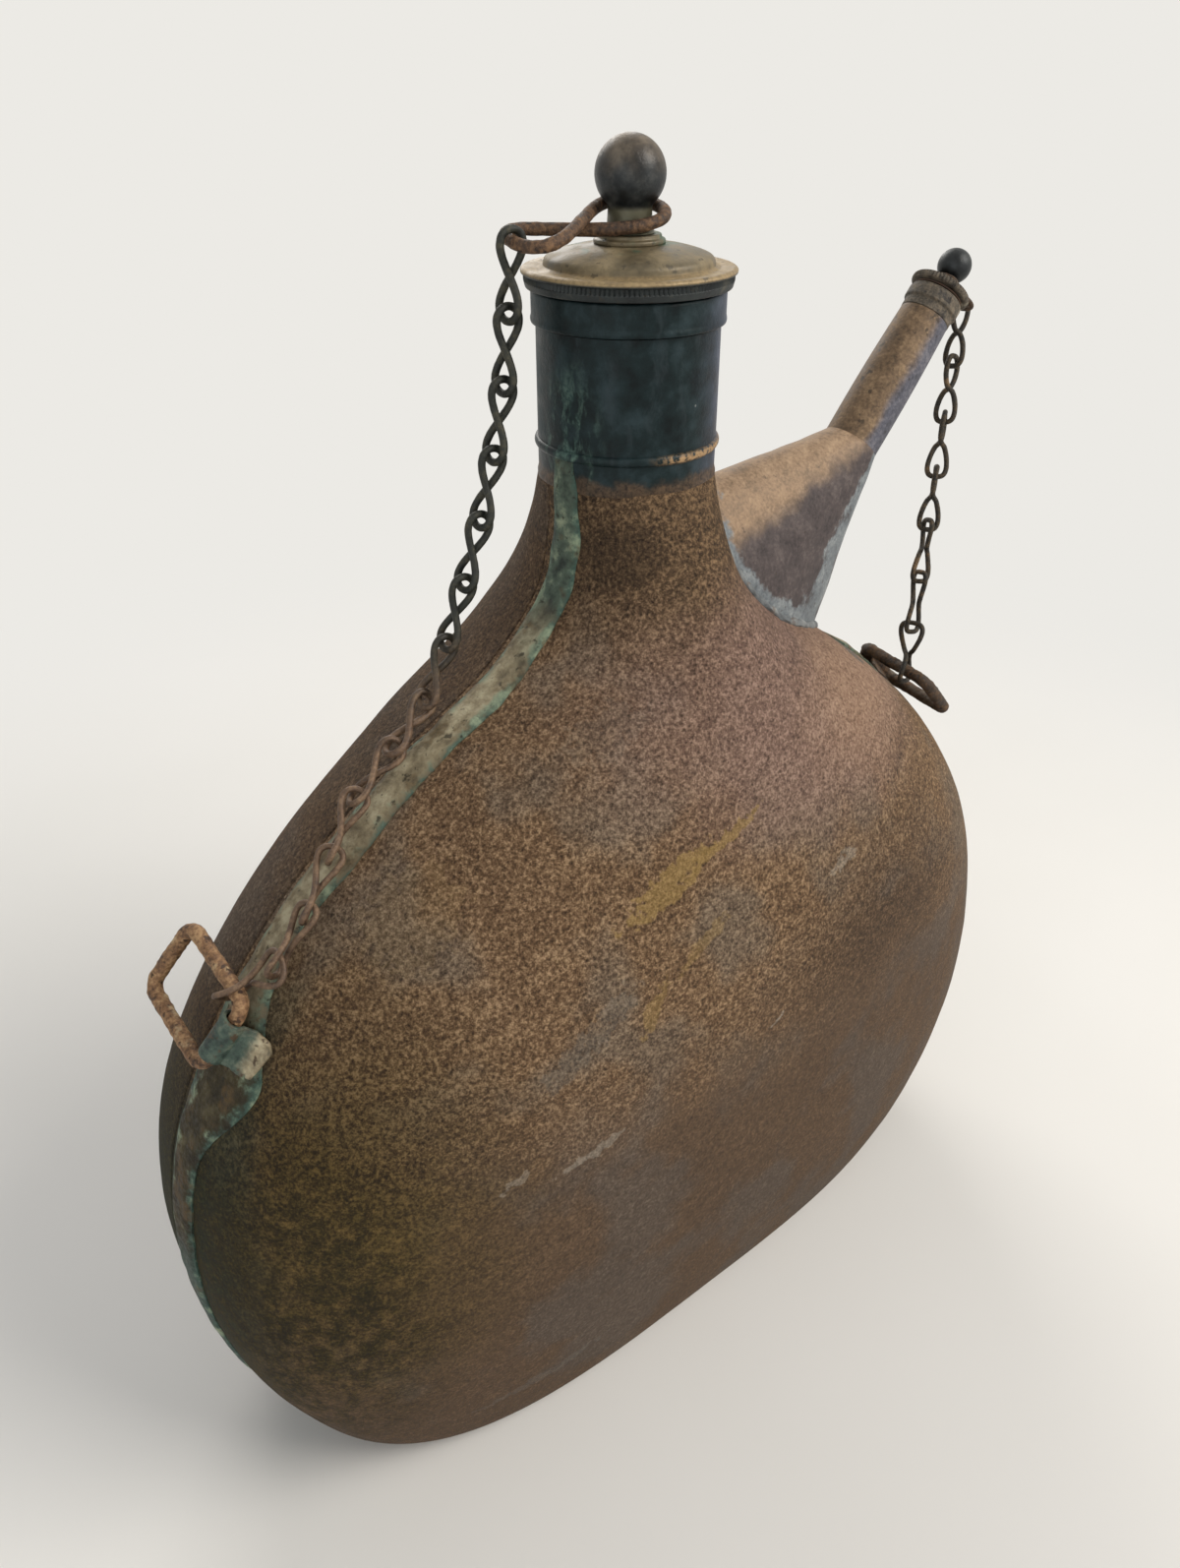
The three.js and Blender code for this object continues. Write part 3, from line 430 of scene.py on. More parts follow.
def body_paint(name, front):
    """Sandy pitted rust above, worn smooth below, in broad fields of colour; a lighter tan field on the front's
    right shoulder is partly painted light, and the dark olive and moss low on the left are partly painted shade.
    """
    p = Paint(name, metal=0.05, specular=0.14)
    grain = p.noise(0.75, 4.0, 0.84)
    speck = p.noise(2.0, 3.0, 0.55)
    cloud = p.noise(24.0, 3.0, 0.5)
    grit = p.cells(0.9, p.warped(1.3, 0.7))
    drawn = p.weigh(cloud, 0.06, p.streaks(26.0, 2.4, 22.0), 0.08)
    broad = p.maths("ADD", p.times(speck, 0.15), drawn)
    fine = p.weigh(grain, 0.63, grit, 0.1)
    raw = p.maths("ADD", fine, broad)
    ragged = p.warped(18.0, 10.0)
    sandy = p.step(p.coordinate("Z", ragged), 82.0, 138.0)
    contrast = p.step(sandy, 0.0, 1.0, 1.0, 1.8)
    mixed = p.maths("ADD", 0.5, p.swing(raw, contrast))
    rust = p.ramp(mixed, (0.3, 56, 43, 32), (0.46, 109, 84, 62), (0.54, 134, 107, 80),
                  (0.7, 192, 161, 126))
    grey = p.ramp(mixed, (0.3, 55, 46, 39), (0.5, 112, 94, 77), (0.7, 168, 147, 123))
    brown = p.ramp(mixed, (0.32, 48, 37, 28), (0.5, 84, 67, 52), (0.68, 126, 102, 80))
    slate = p.ramp(mixed, (0.32, 53, 45, 39), (0.5, 83, 71, 61), (0.68, 120, 106, 93))
    smooth = p.mix(p.step(p.noise(30.0, 4.0, 0.55), 0.46, 0.6), brown, slate)
    # Dark moss green, partly painted shade where it lies far left and low
    moss_with_painted_shade = p.ramp(mixed, (0.38, 18, 22, 15), (0.5, 36, 38, 26), (0.62, 62, 62, 42))
    p.colour = p.mix(p.step(cloud, 0.46, 0.62), rust, grey)
    if front:
        p.lay((p.coordinate("Z", ragged), 134.0, 90.0), smooth)
        gold = p.ramp(mixed, (0.38, 40, 32, 19), (0.5, 71, 57, 33), (0.62, 112, 92, 54))
        front_fields(p, mixed, ragged, smooth, moss_with_painted_shade, gold)
        front_marks(p, grain, speck, gold)
    else:
        p.lay(0.75, smooth)
        # Moss far left and low on the back, partly painted shade
        p.lay(p.zone(ragged, (-120, 12, 70), (18, 38, 66), 0.0, 0.8), moss_with_painted_shade)
    pits = p.step(p.cells(2.6, p.warped(2.0, 0.7)), 0.06, 0.3)
    strength = p.step(sandy, 0.0, 1.0, 0.3, 1.0)
    p.lay(p.times(p.step(pits, 0.3, 0.0, 0.0, 0.45), strength), (36, 28, 22))
    return p.done((mixed, 0.36, 0.65, 0.66, 0.86), (fine, 1.5, strength), (speck, 0.5, 0.35))


def solder_paint(name):
    """Old tin solder: green by the neck, cream down the shoulder, greyer and browner lower down."""
    p = Paint(name, metal=0.1, specular=0.25)
    grain = p.noise(1.1, 4.0, 0.62)
    mottle = p.noise(5.0, 5.0, 0.62)
    height = p.ragged("Z", 12.0, 9.0)
    cream = p.ramp(mottle, (0.34, 96, 86, 68), (0.5, 142, 130, 104), (0.64, 178, 168, 140))
    teal = p.ramp(mottle, (0.34, 26, 44, 43), (0.52, 66, 90, 80), (0.66, 140, 154, 128))
    low = p.ramp(mottle, (0.34, 32, 28, 17), (0.52, 58, 50, 31), (0.68, 92, 84, 60))
    brown = p.ramp(grain, (0.35, 56, 44, 30), (0.62, 106, 86, 58))
    p.colour = p.mix(p.step(height, 146.0, 132.0), cream, low)
    p.lay((height, 192.0, 206.0, 0.0, 0.85), teal)
    p.lay((height, 92.0, 78.0, 0.0, 0.8), (62, 80, 74))
    edge = p.maths("ADD", p.value("edge"), p.swing(mottle, 2.2))
    p.lay((edge, 0.6, 1.0, 0.0, 0.9), teal)
    p.lay((p.noise(7.0, 4.0, 0.6), 0.54, 0.64, 0.0, 0.6), brown)
    p.lay((p.noise(1.8, 3.0), 0.6, 0.7, 0.0, 0.8), (40, 36, 28))
    return p.done((grain, 0.3, 0.7, 0.5, 0.78), (grain, 0.35, 0.6), (mottle, 1.0, 0.6))


def tin_paint(name):
    """Blue-grey tin solder, ragged and dull."""
    p = Paint(name, metal=0.2)
    grain = p.noise(1.0, 4.0, 0.62)
    mottle = p.noise(4.0, 5.0, 0.62)
    p.colour = p.ramp(mottle, (0.34, 70, 72, 74), (0.5, 106, 110, 112), (0.66, 142, 144, 142))
    p.lay((p.noise(5.0, 4.0), 0.55, 0.66, 0.0, 0.8), (104, 86, 70))
    return p.done((grain, 0.3, 0.7, 0.48, 0.72), (grain, 0.3, 0.6), (mottle, 0.6, 0.6))


def neck_paint(name, bead_z):
    """Blue-black patina on brass, with a painted blue-grey reflection down its right side, streaks of verdigris, a
    few pale specks and a worn bead.
    """
    p = Paint(name, metal=0.1, specular=0.18)
    grain = p.noise(0.9, 4.0, 0.62)
    mottle = p.noise(6.0, 5.0, 0.6)
    streak = p.noise(3.0, 4.0, 0.6, p.vector("MULTIPLY", p.warped(6.0, 2.0), (1.0, 1.0, 0.22)))
    side = p.ragged("X", 9.0, 5.0)
    dark = p.ramp(mottle, (0.34, 10, 20, 22), (0.5, 22, 36, 38), (0.7, 44, 58, 62))
    # grey is a painted reflection: a lighter blue-grey tone laid on the right side of the neck and rim
    grey = p.ramp(mottle, (0.34, 42, 48, 62), (0.5, 68, 75, 92), (0.7, 100, 104, 120))
    p.colour = p.mix(p.step(side, 0.0, 17.0), dark, grey)
    p.lay((streak, 0.52, 0.7, 0.0, 0.4), (52, 62, 66))
    green = p.ramp(grain, (0.35, 44, 70, 66), (0.62, 104, 130, 118))
    patch = p.zone(p.warped(4.0, 3.0), (-17.2, -3.5, 236), (4.5, 6, 11), 0.0, 0.6)
    patch = p.times(patch, p.step(streak, 0.44, 0.6))
    p.lay(p.times(patch, 0.8), green)
    level = p.coordinate("Z")
    off = p.maths("ABSOLUTE", p.maths("SUBTRACT", level, bead_z))
    beside = p.step(p.ragged("X", 5.0, 3.0), -9.0, -3.0)
    worn = p.times(p.times(p.step(off, 1.2, 0.3), beside), p.step(grain, 0.38, 0.52))
    p.lay(worn, p.ramp(grain, (0.35, 112, 88, 62), (0.6, 166, 136, 100)))
    foot = p.step(p.ragged("Z", 4.0, 2.6), bead_z - 3.2, bead_z - 5.6)
    earth = p.ramp(grain, (0.35, 50, 40, 32), (0.62, 98, 78, 60))
    p.lay(p.times(foot, 0.85), earth)
    specks = p.times(p.step(p.cells(6.5), 0.05, 0.02), p.step(mottle, 0.46, 0.54))
    p.lay(p.times(specks, 0.45), (150, 154, 150))
    return p.done((mottle, 0.35, 0.7, 0.36, 0.56), (grain, 0.18, 0.5), (mottle, 0.4, 0.4))


def cap_paint(name, lip_z):
    """Dusty olive bronze above the lip, dark serrations under it, green round the collar."""
    p = Paint(name, metal=0.25)
    grain = p.noise(0.8, 4.0, 0.62)
    mottle = p.noise(5.0, 5.0, 0.6)
    dust = p.ramp(mottle, (0.34, 80, 71, 52), (0.5, 110, 98, 74), (0.66, 142, 127, 98))
    sand = p.ramp(grain, (0.35, 132, 112, 80), (0.62, 170, 146, 106))
    dark = p.ramp(mottle, (0.34, 18, 23, 24), (0.55, 38, 44, 44), (0.7, 78, 76, 68))
    level = p.ragged("Z", 3.0, 0.35)
    p.colour = p.mix(p.step(level, lip_z + 1.5, lip_z + 0.7, 0.0, 0.75), dust, sand)
    p.colour = p.mix(p.step(p.coordinate("Z"), lip_z - 0.1, lip_z + 0.35), dark, p.colour)
    green = p.times(p.step(p.noise(6.0, 4.0), 0.5, 0.64), p.step(level, lip_z + 3.4, lip_z + 4.4))
    p.lay(p.times(green, 0.8), (66, 92, 74))
    specks = p.step(p.noise(1.5, 2.0), 0.62, 0.7)
    p.lay(p.times(specks, 0.6), (48, 43, 34))
    return p.done((mottle, 0.35, 0.7, 0.44, 0.64), (grain, 0.14, 0.5), (mottle, 0.3, 0.45))


def knob_paint(name, centre_z, dusty):
    """Blue-black patina, dusty on top."""
    p = Paint(name, metal=0.4)
    grain = p.noise(0.8, 4.0, 0.6)
    mottle = p.noise(4.0, 5.0, 0.62)
    dark = p.ramp(mottle, (0.34, 18, 21, 23), (0.52, 36, 40, 42), (0.7, 70, 71, 70))
    brown = p.ramp(mottle, (0.34, 62, 54, 46), (0.52, 96, 84, 70), (0.7, 130, 116, 98))
    top = p.step(p.ragged("Z", 4.0, 3.0), centre_z - 1.0, centre_z + 6.5)
    p.colour = p.mix(p.times(top, dusty), dark, brown)
    foot = p.step(p.coordinate("Z"), centre_z - 4.8, centre_z - 6.2)
    p.lay(p.times(foot, dusty), (98, 94, 72))
    return p.done((mottle, 0.35, 0.7, 0.36, 0.58), (grain, 0.12, 0.5), (mottle, 0.3, 0.5))


def rusty_paint(name, deep, middle, light, worn):
    """Rusted wire or sheet: flaky, with worn pale spots."""
    p = Paint(name, metal=0.15)
    grain = p.noise(0.8, 4.0, 0.62)
    mottle = p.noise(3.2, 5.0, 0.62)
    mixed = p.weigh(grain, 0.4, mottle, 0.6)
    p.colour = p.ramp(mixed, (0.35, *deep), (0.48, *middle), (0.62, *light))
    p.lay((p.noise(6.0, 4.0), 0.58, 0.68), worn)
    p.lay((p.noise(2.2, 3.0), 0.6, 0.68), deep)
    return p.done((mixed, 0.35, 0.7, 0.6, 0.85), (grain, 0.25, 0.7), (mottle, 0.5, 0.7))


def chain_paint(name, dark_z, rusty_z):
    """Twisted wire, dark above and rusty tan where it lies on the shoulder."""
    p = Paint(name, metal=0.25)
    grain = p.noise(0.7, 4.0, 0.62)
    mottle = p.noise(2.6, 5.0, 0.62)
    mixed = p.weigh(grain, 0.4, mottle, 0.6)
    dark = p.ramp(mixed, (0.35, 18, 20, 18), (0.5, 40, 42, 36), (0.66, 80, 76, 62))
    rust = p.ramp(mixed, (0.35, 60, 46, 36), (0.5, 104, 82, 64), (0.66, 148, 122, 96))
    level = p.ragged("Z", 8.0, 8.0)
    p.colour = p.mix(p.step(level, dark_z, rusty_z), dark, rust)
    return p.done((mixed, 0.35, 0.7, 0.5, 0.75), (grain, 0.15, 0.6), (mottle, 0.3, 0.6))


def spout_base_paint(name):
    """Ochre tan sheet along the top, partly painted light on its upward faces, plum grey below, with a ragged band
    of solder along its foot.
    """
    p = Paint(name, metal=0.12, specular=0.35)
    grain = p.noise(0.9, 4.0, 0.62)
    mottle = p.noise(5.0, 5.0, 0.6)
    mixed = p.weigh(grain, 0.5, mottle, 0.5)
    tan = p.ramp(mixed, (0.36, 110, 90, 68), (0.5, 146, 121, 96), (0.64, 176, 150, 122))
    plum = p.ramp(mixed, (0.36, 52, 44, 44), (0.5, 76, 67, 66), (0.64, 102, 92, 89))
    tin = p.ramp(mixed, (0.36, 78, 82, 86), (0.5, 112, 118, 122), (0.64, 146, 150, 150))
    ragged = p.warped(7.0, 4.0)
    top = p.coordinate("Z", ragged)
    # Tan along the top, partly painted light where the sheet faces up, and plum grey below
    slant = p.maths("SUBTRACT", top, p.times(p.coordinate("X"), 0.28))
    p.colour = p.mix(p.step(slant, 205.5, 199.0), tan, plum)
    solder = p.maths("ADD", p.value("solder"), p.swing(mottle, 1.6))
    p.lay((solder, 0.48, 0.7), tin)
    p.lay((p.noise(2.4, 3.0), 0.64, 0.74, 0.0, 0.7), (60, 50, 44))
    return p.done((mixed, 0.35, 0.7, 0.5, 0.76), (grain, 0.22, 0.5), (mottle, 0.5, 0.4))


def spout_tube_paint(name, outer):
    """Mottled brown tube, with a painted blue-grey reflection along one side, set square to the spout and the way
    to the camera.
    """
    p = Paint(name, metal=0.15, specular=0.35)
    grain = p.noise(0.9, 4.0, 0.62)
    mottle = p.noise(4.0, 5.0, 0.62)
    mixed = p.weigh(grain, 0.5, mottle, 0.5)
    brown = p.ramp(mixed, (0.36, 72, 58, 43), (0.5, 110, 89, 67), (0.64, 148, 124, 96))
    # grey is a painted reflection, laid along the side of the tube that the given direction points to
    grey = p.ramp(mixed, (0.36, 60, 60, 66), (0.5, 88, 88, 98), (0.64, 122, 120, 126))
    side = p.vector("DOT_PRODUCT", p.vector("SUBTRACT", p.warped(6.0, 1.6), tuple(SPOUT_ROOT * MM)), outer)
    p.colour = p.mix(p.step(side, 1.6 * MM, 4.4 * MM), brown, grey)
    p.lay((p.noise(2.2, 3.0), 0.62, 0.7, 0.0, 0.75), (46, 38, 31))
    return p.done((mixed, 0.35, 0.7, 0.48, 0.72), (grain, 0.18, 0.5), (mottle, 0.35, 0.4))


def bracket_paint(name, hinge):
    """Tinned clip: teal sleeve, cream tongue in front, tan behind."""
    p = Paint(name, metal=0.15)
    grain = p.noise(0.8, 4.0, 0.62)
    mottle = p.noise(3.0, 5.0, 0.62)
    teal = p.ramp(mottle, (0.34, 30, 44, 40), (0.52, 64, 82, 72), (0.68, 104, 114, 98))
    cream = p.ramp(mottle, (0.34, 98, 88, 68), (0.52, 152, 138, 110), (0.68, 190, 178, 148))
    tan = p.ramp(mottle, (0.34, 92, 68, 46), (0.52, 136, 106, 76), (0.68, 166, 138, 106))
    across = p.ragged("Y", 3.0, 1.6)
    p.colour = p.mix(p.step(across, hinge[1] - 3.0, hinge[1] - 5.6), teal, cream)
    p.lay((across, hinge[1] + 4.2, hinge[1] + 6.2), tan)
    p.lay((p.noise(2.4, 4.0), 0.58, 0.68), (78, 62, 44))
    return p.done((grain, 0.35, 0.7, 0.5, 0.75), (grain, 0.2, 0.5), (mottle, 0.45, 0.6))


def leather_paint(name):
    """Dark greased leather."""
    p = Paint(name)
    grain = p.cells(0.9, p.warped(1.0, 0.4))
    mottle = p.noise(4.0, 4.0)
    p.colour = p.ramp(mottle, (0.34, 44, 30, 21), (0.55, 74, 52, 36), (0.7, 98, 72, 50))
    return p.done((mottle, 0.35, 0.7, 0.6, 0.8), (grain, 0.15, 0.5))


# Mesh helpers

bodies = frame["record"]["behaviour"]["bodies"]
node_body = {node: body for body, nodes in bodies.items() for node in nodes}


def show(name, data):
    """Puts a mesh, a light or a camera in the scene."""
    piece = bpy.data.objects.new(name, data)
    bpy.context.scene.collection.objects.link(piece)
    return piece


def build(node, form, points, faces, paint, slot, sharp=40, values=None, closed=True, added=False):
    """Makes one piece from points in millimetres, in place of a node or added to it, on the node's body."""
    name = f"{node}_{form}"
    body = node_body[node]
    stands_for = () if added else (node,)
    mesh = bpy.data.meshes.new(name)
    mesh.from_pydata((np.asarray(points) * MM).tolist(), [], faces)
    if closed:
        made = bmesh.new()
        made.from_mesh(mesh)
        bmesh.ops.recalc_face_normals(made, faces=made.faces)
        made.to_mesh(mesh)
        made.free()
    mesh.shade_smooth()
    mesh.set_sharp_from_angle(angle=math.radians(sharp))
    mesh.materials.append(paint)
    for key, data in (values or {}).items():
        layer = mesh.attributes.new(key, "FLOAT", "POINT")
        layer.data.foreach_set("value", np.asarray(data, np.float32))
    piece = show(name, mesh)
    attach(piece, body)
    if stands_for:
        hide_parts(*stands_for)
    return piece


def thicken(piece, thickness, offset):
    """Gives a sheet its thickness in millimetres."""
    change = piece.modifiers.new("sheet", "SOLIDIFY")
    change.thickness = thickness * MM
    change.offset = offset


def grid(rows, columns, wrap=False, loop=False):
    """Faces of a grid of points stored row by row. wrap joins the columns, loop the rows."""
    faces = []
    for k in range(rows if loop else rows - 1):
        for j in range(columns if wrap else columns - 1):
            a = k * columns + j
            b = k * columns + (j + 1) % columns
            over = ((k + 1) % rows) * columns
            faces.append((a, over + j, over + (j + 1) % columns, b))
    return faces


def rounded(corners, radius, steps=4):
    """A line through corners, each inner one eased over radius."""
    corners = [np.array(c, float) for c in corners]
    line = [corners[0]]
    for before, corner, after in zip(corners, corners[1:], corners[2:]):
        back = before - corner
        ahead = after - corner
        cut = min(radius, 0.45 * np.linalg.norm(back), 0.45 * np.linalg.norm(ahead))
        start = corner + unit(back) * cut
        end = corner + unit(ahead) * cut
        for share in np.linspace(0, 1, steps + 1):
            line.append((1 - share) ** 2 * start + 2 * share * (1 - share) * corner + share ** 2 * end)
    line.append(corners[-1])
    return np.array(line)


def lathe(profile, sides, teeth=0, depth=0.0, band=(0.0, 0.0)):
    """Turned piece about Z from (radius, height) pairs, with serrations on a band of heights."""
    profile = np.asarray(profile, float)
    angles = np.linspace(0, 2 * math.pi, sides, endpoint=False)
    points = []
    for radius, height in profile:
        cut = 0.0
        if teeth and band[0] <= height <= band[1] and radius > DOME_R:
            cut = depth * (0.5 - 0.5 * np.cos(teeth * angles))
        reach = radius - cut + 0 * angles
        points.append(np.stack([reach * np.cos(angles), reach * np.sin(angles), height + 0 * angles], 1))
    faces = grid(len(profile), sides, wrap=True)
    points = np.concatenate(points)
    for row in (0, len(profile) - 1):
        if profile[row][0] > 0:
            faces.append(tuple(range(row * sides, (row + 1) * sides)))
    return points, faces


def turned_ring(profile, sides):
    """Turned piece whose profile closes on itself."""
    points, _ = lathe(profile, sides)
    return points, grid(len(profile), sides, wrap=True, loop=True)


def on_axis(points, origin, axis):
    """Moves a piece made about Z to another axis."""
    turn = np.array(Vector((0, 0, 1)).rotation_difference(Vector(axis)).to_matrix())
    return points @ turn.T + origin


def wire(path, diameter, sides=14, flake=0.0, seed=0.0):
    """Round wire along a closed run of points, its surface a little uneven."""
    path = np.asarray(path, float)
    count = len(path)
    ahead = unit(np.roll(path, -1, 0) - np.roll(path, 1, 0))
    start = np.cross(ahead[0], (0.31, 0.52, 0.79))
    normals = [unit(start)]
    for tangent in ahead[1:]:
        normals.append(unit(normals[-1] - tangent * np.dot(normals[-1], tangent)))
    end = unit(normals[-1] - ahead[0] * np.dot(normals[-1], ahead[0]))
    slip = math.atan2(np.dot(np.cross(normals[0], end), ahead[0]), np.dot(normals[0], end))
    angles = np.linspace(0, 2 * math.pi, sides, endpoint=False)
    points = []
    for i in range(count):
        across = np.cross(ahead[i], normals[i])
        turn = angles - slip * i / count
        spokes = np.outer(np.cos(turn), normals[i]) + np.outer(np.sin(turn), across)
        points.append(path[i] + spokes * diameter / 2)
    points = np.concatenate(points)
    if flake:
        centres = np.repeat(path, sides, axis=0)
        swell = 1 + flake * bumps(points, 2.2, seed) + flake * bumps(points, 0.9, seed + 7)
        points = centres + (points - centres) * swell[:, None]
    return points, grid(count, sides, wrap=True, loop=True)


def eight(half, width, rise, twist, steps=88, square=1.0):
    """Points of a wire figure eight along s, u and v, its eyes squarer the lower square is."""
    t = np.linspace(0, 2 * math.pi, steps, endpoint=False)
    turn = math.radians(twist / 2) * np.cos(t)
    u = width * np.sign(np.sin(2 * t)) * np.abs(np.sin(2 * t)) ** square
    v = rise * np.sin(t) ** 3
    c, s = np.cos(turn), np.sin(turn)
    return np.stack([half * np.cos(t), u * c - v * s, u * s + v * c], 1)


def curve(points, per_span):
    """Centripetal curve through points."""
    points = np.asarray(points, float)
    ends = np.vstack([2 * points[0] - points[1], points, 2 * points[-1] - points[-2]])
    out = []
    for p0, p1, p2, p3 in zip(ends, ends[1:], ends[2:], ends[3:]):
        d0, d1, d2 = (math.sqrt(np.linalg.norm(b - a)) for a, b in ((p0, p1), (p1, p2), (p2, p3)))
        m1 = ((p1 - p0) / d0 - (p2 - p0) / (d0 + d1) + (p2 - p1) / d1) * d1
        m2 = ((p2 - p1) / d1 - (p3 - p1) / (d1 + d2) + (p3 - p2) / d2) * d1
        t = np.linspace(0, 1, per_span, endpoint=False)[:, None]
        square = 3 * (p2 - p1) - 2 * m1 - m2
        cube = 2 * (p1 - p2) + m1 + m2
        out.append(p1 + m1 * t + square * t ** 2 + cube * t ** 3)
    return np.vstack(out + [points[-1:]])


def even(line, count):
    """The same line with points at even distances."""
    run = np.concatenate([[0], np.cumsum(np.linalg.norm(np.diff(line, axis=0), axis=1))])
    marks = np.linspace(0, run[-1], count)
    return np.stack([np.interp(marks, run, line[:, i]) for i in range(line.shape[1])], 1)


# Body surface

BODY_HEIGHT = heights("body_back_half")[1]
HALF_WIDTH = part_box("body_back_half")[1].x / MM
HALF_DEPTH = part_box("body_back_half")[1].y / MM
WIDER = HALF_WIDTH - NECK_R
DEEPER = HALF_DEPTH - NECK_R
outline = curve([(NECK_R + w * WIDER, NECK_R + d * DEEPER, h * BODY_HEIGHT) for h, w, d in STATIONS], 30)


def half_width(z):
    return np.interp(z, outline[:, 2], outline[:, 0])


def half_depth(z):
    return np.interp(z, outline[:, 2], outline[:, 1])


def power(z):
    return 2 + SQUARENESS * np.clip(1 - z / BODY_HEIGHT, 0, 1) ** SQUARE_FADE


def field(p):
    """Below zero inside the body, zero on its surface."""
    z = np.clip(p[..., 2], 0, BODY_HEIGHT)
    n = power(z)
    return (np.abs(p[..., 0]) / half_width(z)) ** n + (np.abs(p[..., 1]) / half_depth(z)) ** n - 1


def outward(p):
    """Directions square to the body surface at points."""
    e = 0.05
    slopes = [field(p + e * axis) - field(p - e * axis) for axis in np.eye(3)]
    return unit(np.stack(slopes, -1))


def ground(points, down, reach):
    """Points moved along down until they meet the body."""
    near = np.zeros(len(points))
    far = np.full(len(points), float(reach))
    for _ in range(40):
        middle = (near + far) / 2
        inside = field(points + middle[:, None] * down) < 0
        far = np.where(inside, middle, far)
        near = np.where(inside, near, middle)
    return points + near[:, None] * down


def body_half(name, side, paint):
    """One pressed half of the body: side is -1 for the front and 1 for the back."""
    rows, columns = BODY_GRID
    cut = PARTING_Y + side * PARTING_GAP / 2
    rings = []
    for a, b, z in even(outline, rows):
        n = power(z)
        lean = math.asin(min(cut / b, 1) ** (n / 2))
        ends = (lean, -math.pi - lean) if side < 0 else (math.pi - lean, lean)
        angles = np.linspace(*ends, 500)
        c, s = np.cos(angles), np.sin(angles)
        x = a * np.sign(c) * np.abs(c) ** (2 / n)
        y = b * np.sign(s) * np.abs(s) ** (2 / n)
        ring = np.stack([x, y], 1)
        rings.append(np.column_stack([even(ring, columns), np.full(columns, z)]))
    points = np.concatenate(rings)
    from_base, from_collar, from_parting = DENT_FADES
    z = points[:, 2]
    fade = np.clip(z / from_base, 0, 1) * np.clip((BODY_HEIGHT - z) / from_collar, 0, 1)
    fade *= np.clip(np.abs(points[:, 1] - cut) / from_parting, 0, 1)
    points = points + outward(points) * (dents(points, BODY_DENTS) * fade)[:, None]
    base = [(rings[0] - (0, cut, 0)) * (share, share, 1) + (0, cut, 0) for share in BASE_SHARES]
    points = np.concatenate([*base[::-1], points])
    faces = grid(rows + len(BASE_SHARES), columns)
    piece = build(name, "sheet", points, faces, paint, "iron", closed=False)
    thicken(piece, WALL, -1)


def seam(name, side, paint):
    """Ragged strip of solder over the edge of the body."""
    low, high = heights(name)
    rows, columns = SEAM_GRID
    levels = outline[(outline[:, 2] > low) & (outline[:, 2] < high)]
    if side < 0:
        high = BODY_HEIGHT + SEAM_ON_NECK
        levels = np.vstack([levels, (NECK_R, NECK_R, BODY_HEIGHT), (NECK_R, NECK_R, high)])
    line = even(levels, rows)
    edge_line = np.column_stack([line[:, 0] * side, 0 * line[:, 0], line[:, 2]])
    narrow = np.clip((line[:, 2] - SEAM_NARROWS) / (high - SEAM_NARROWS), 0, 1)
    end = np.clip((high - line[:, 2]) / SEAM_END, 0, 1)
    spread = SEAM_SPREAD * np.exp(-((line[:, 2] - SEAM_SPREAD_Z) / SEAM_SPREAD_SPAN) ** 2) if side < 0 else 0
    front = (SEAM_FRONT - spread + SEAM_FRONT_DRAWN * narrow
             + 1.0 * bumps(edge_line, 16, 2.0 + side) + 0.6 * bumps(edge_line, 5, 5.0))
    back = (SEAM_BACK - SEAM_BACK_DRAWN * narrow
            + 0.5 * bumps(edge_line, 13, 9.0 + side) + 0.4 * bumps(edge_line, 4, 4.0))
    rings = []
    edges = []
    for k, (a, b, z) in enumerate(line):
        across = np.linspace(0, 1, columns)
        y = front[k] + (back[k] - front[k]) * across
        n = power(z)
        x = side * a * np.clip(1 - (np.abs(y) / b) ** n, 0, 1) ** (1 / n)
        skin = np.column_stack([x, y, np.full(columns, z)])
        away = outward(skin)
        crown = 1 - np.abs(2 * across - 1) ** 5
        lift = SEAM_LEAST + (0.13 + SEAM_CROWN * crown + 0.22 * crown * bumps(skin, 4.5, 6.0)) * end[k]
        rings.append(np.concatenate([skin + away * lift[:, None], (skin - away * SEAM_SUNK)[::-1]]))
        edges.append(np.concatenate([np.abs(2 * across - 1), np.ones(columns)]))
    faces = grid(rows, 2 * columns, wrap=True)
    last = (rows - 1) * 2 * columns
    faces.append(tuple(range(2 * columns)))
    faces.append(tuple(range(last, last + 2 * columns)))
    values = {"edge": np.concatenate(edges)}
    build(name, "strip", np.concatenate(rings), faces, paint, "solder", 50, values)


# Spout

SPOUT_ORIGIN = joint("spout_stopper_turn")[0]
SPOUT_AXIS = joint("spout_stopper_lift")[1]


def along_spout(node):
    """Nearest and farthest reach of a node along the spout, and its largest radius."""
    offset = node_points(node) - SPOUT_ROOT
    run = offset @ SPOUT_AXIS
    return run.min(), run.max(), np.linalg.norm(offset - np.outer(run, SPOUT_AXIS), axis=1).max()


def spout_root():
    """Foot of the spout tube on the spout axis."""
    points = node_points("spout_tube")
    run = (points - SPOUT_ORIGIN) @ SPOUT_AXIS
    return SPOUT_ORIGIN + SPOUT_AXIS * run.min()


SPOUT_ROOT = spout_root()


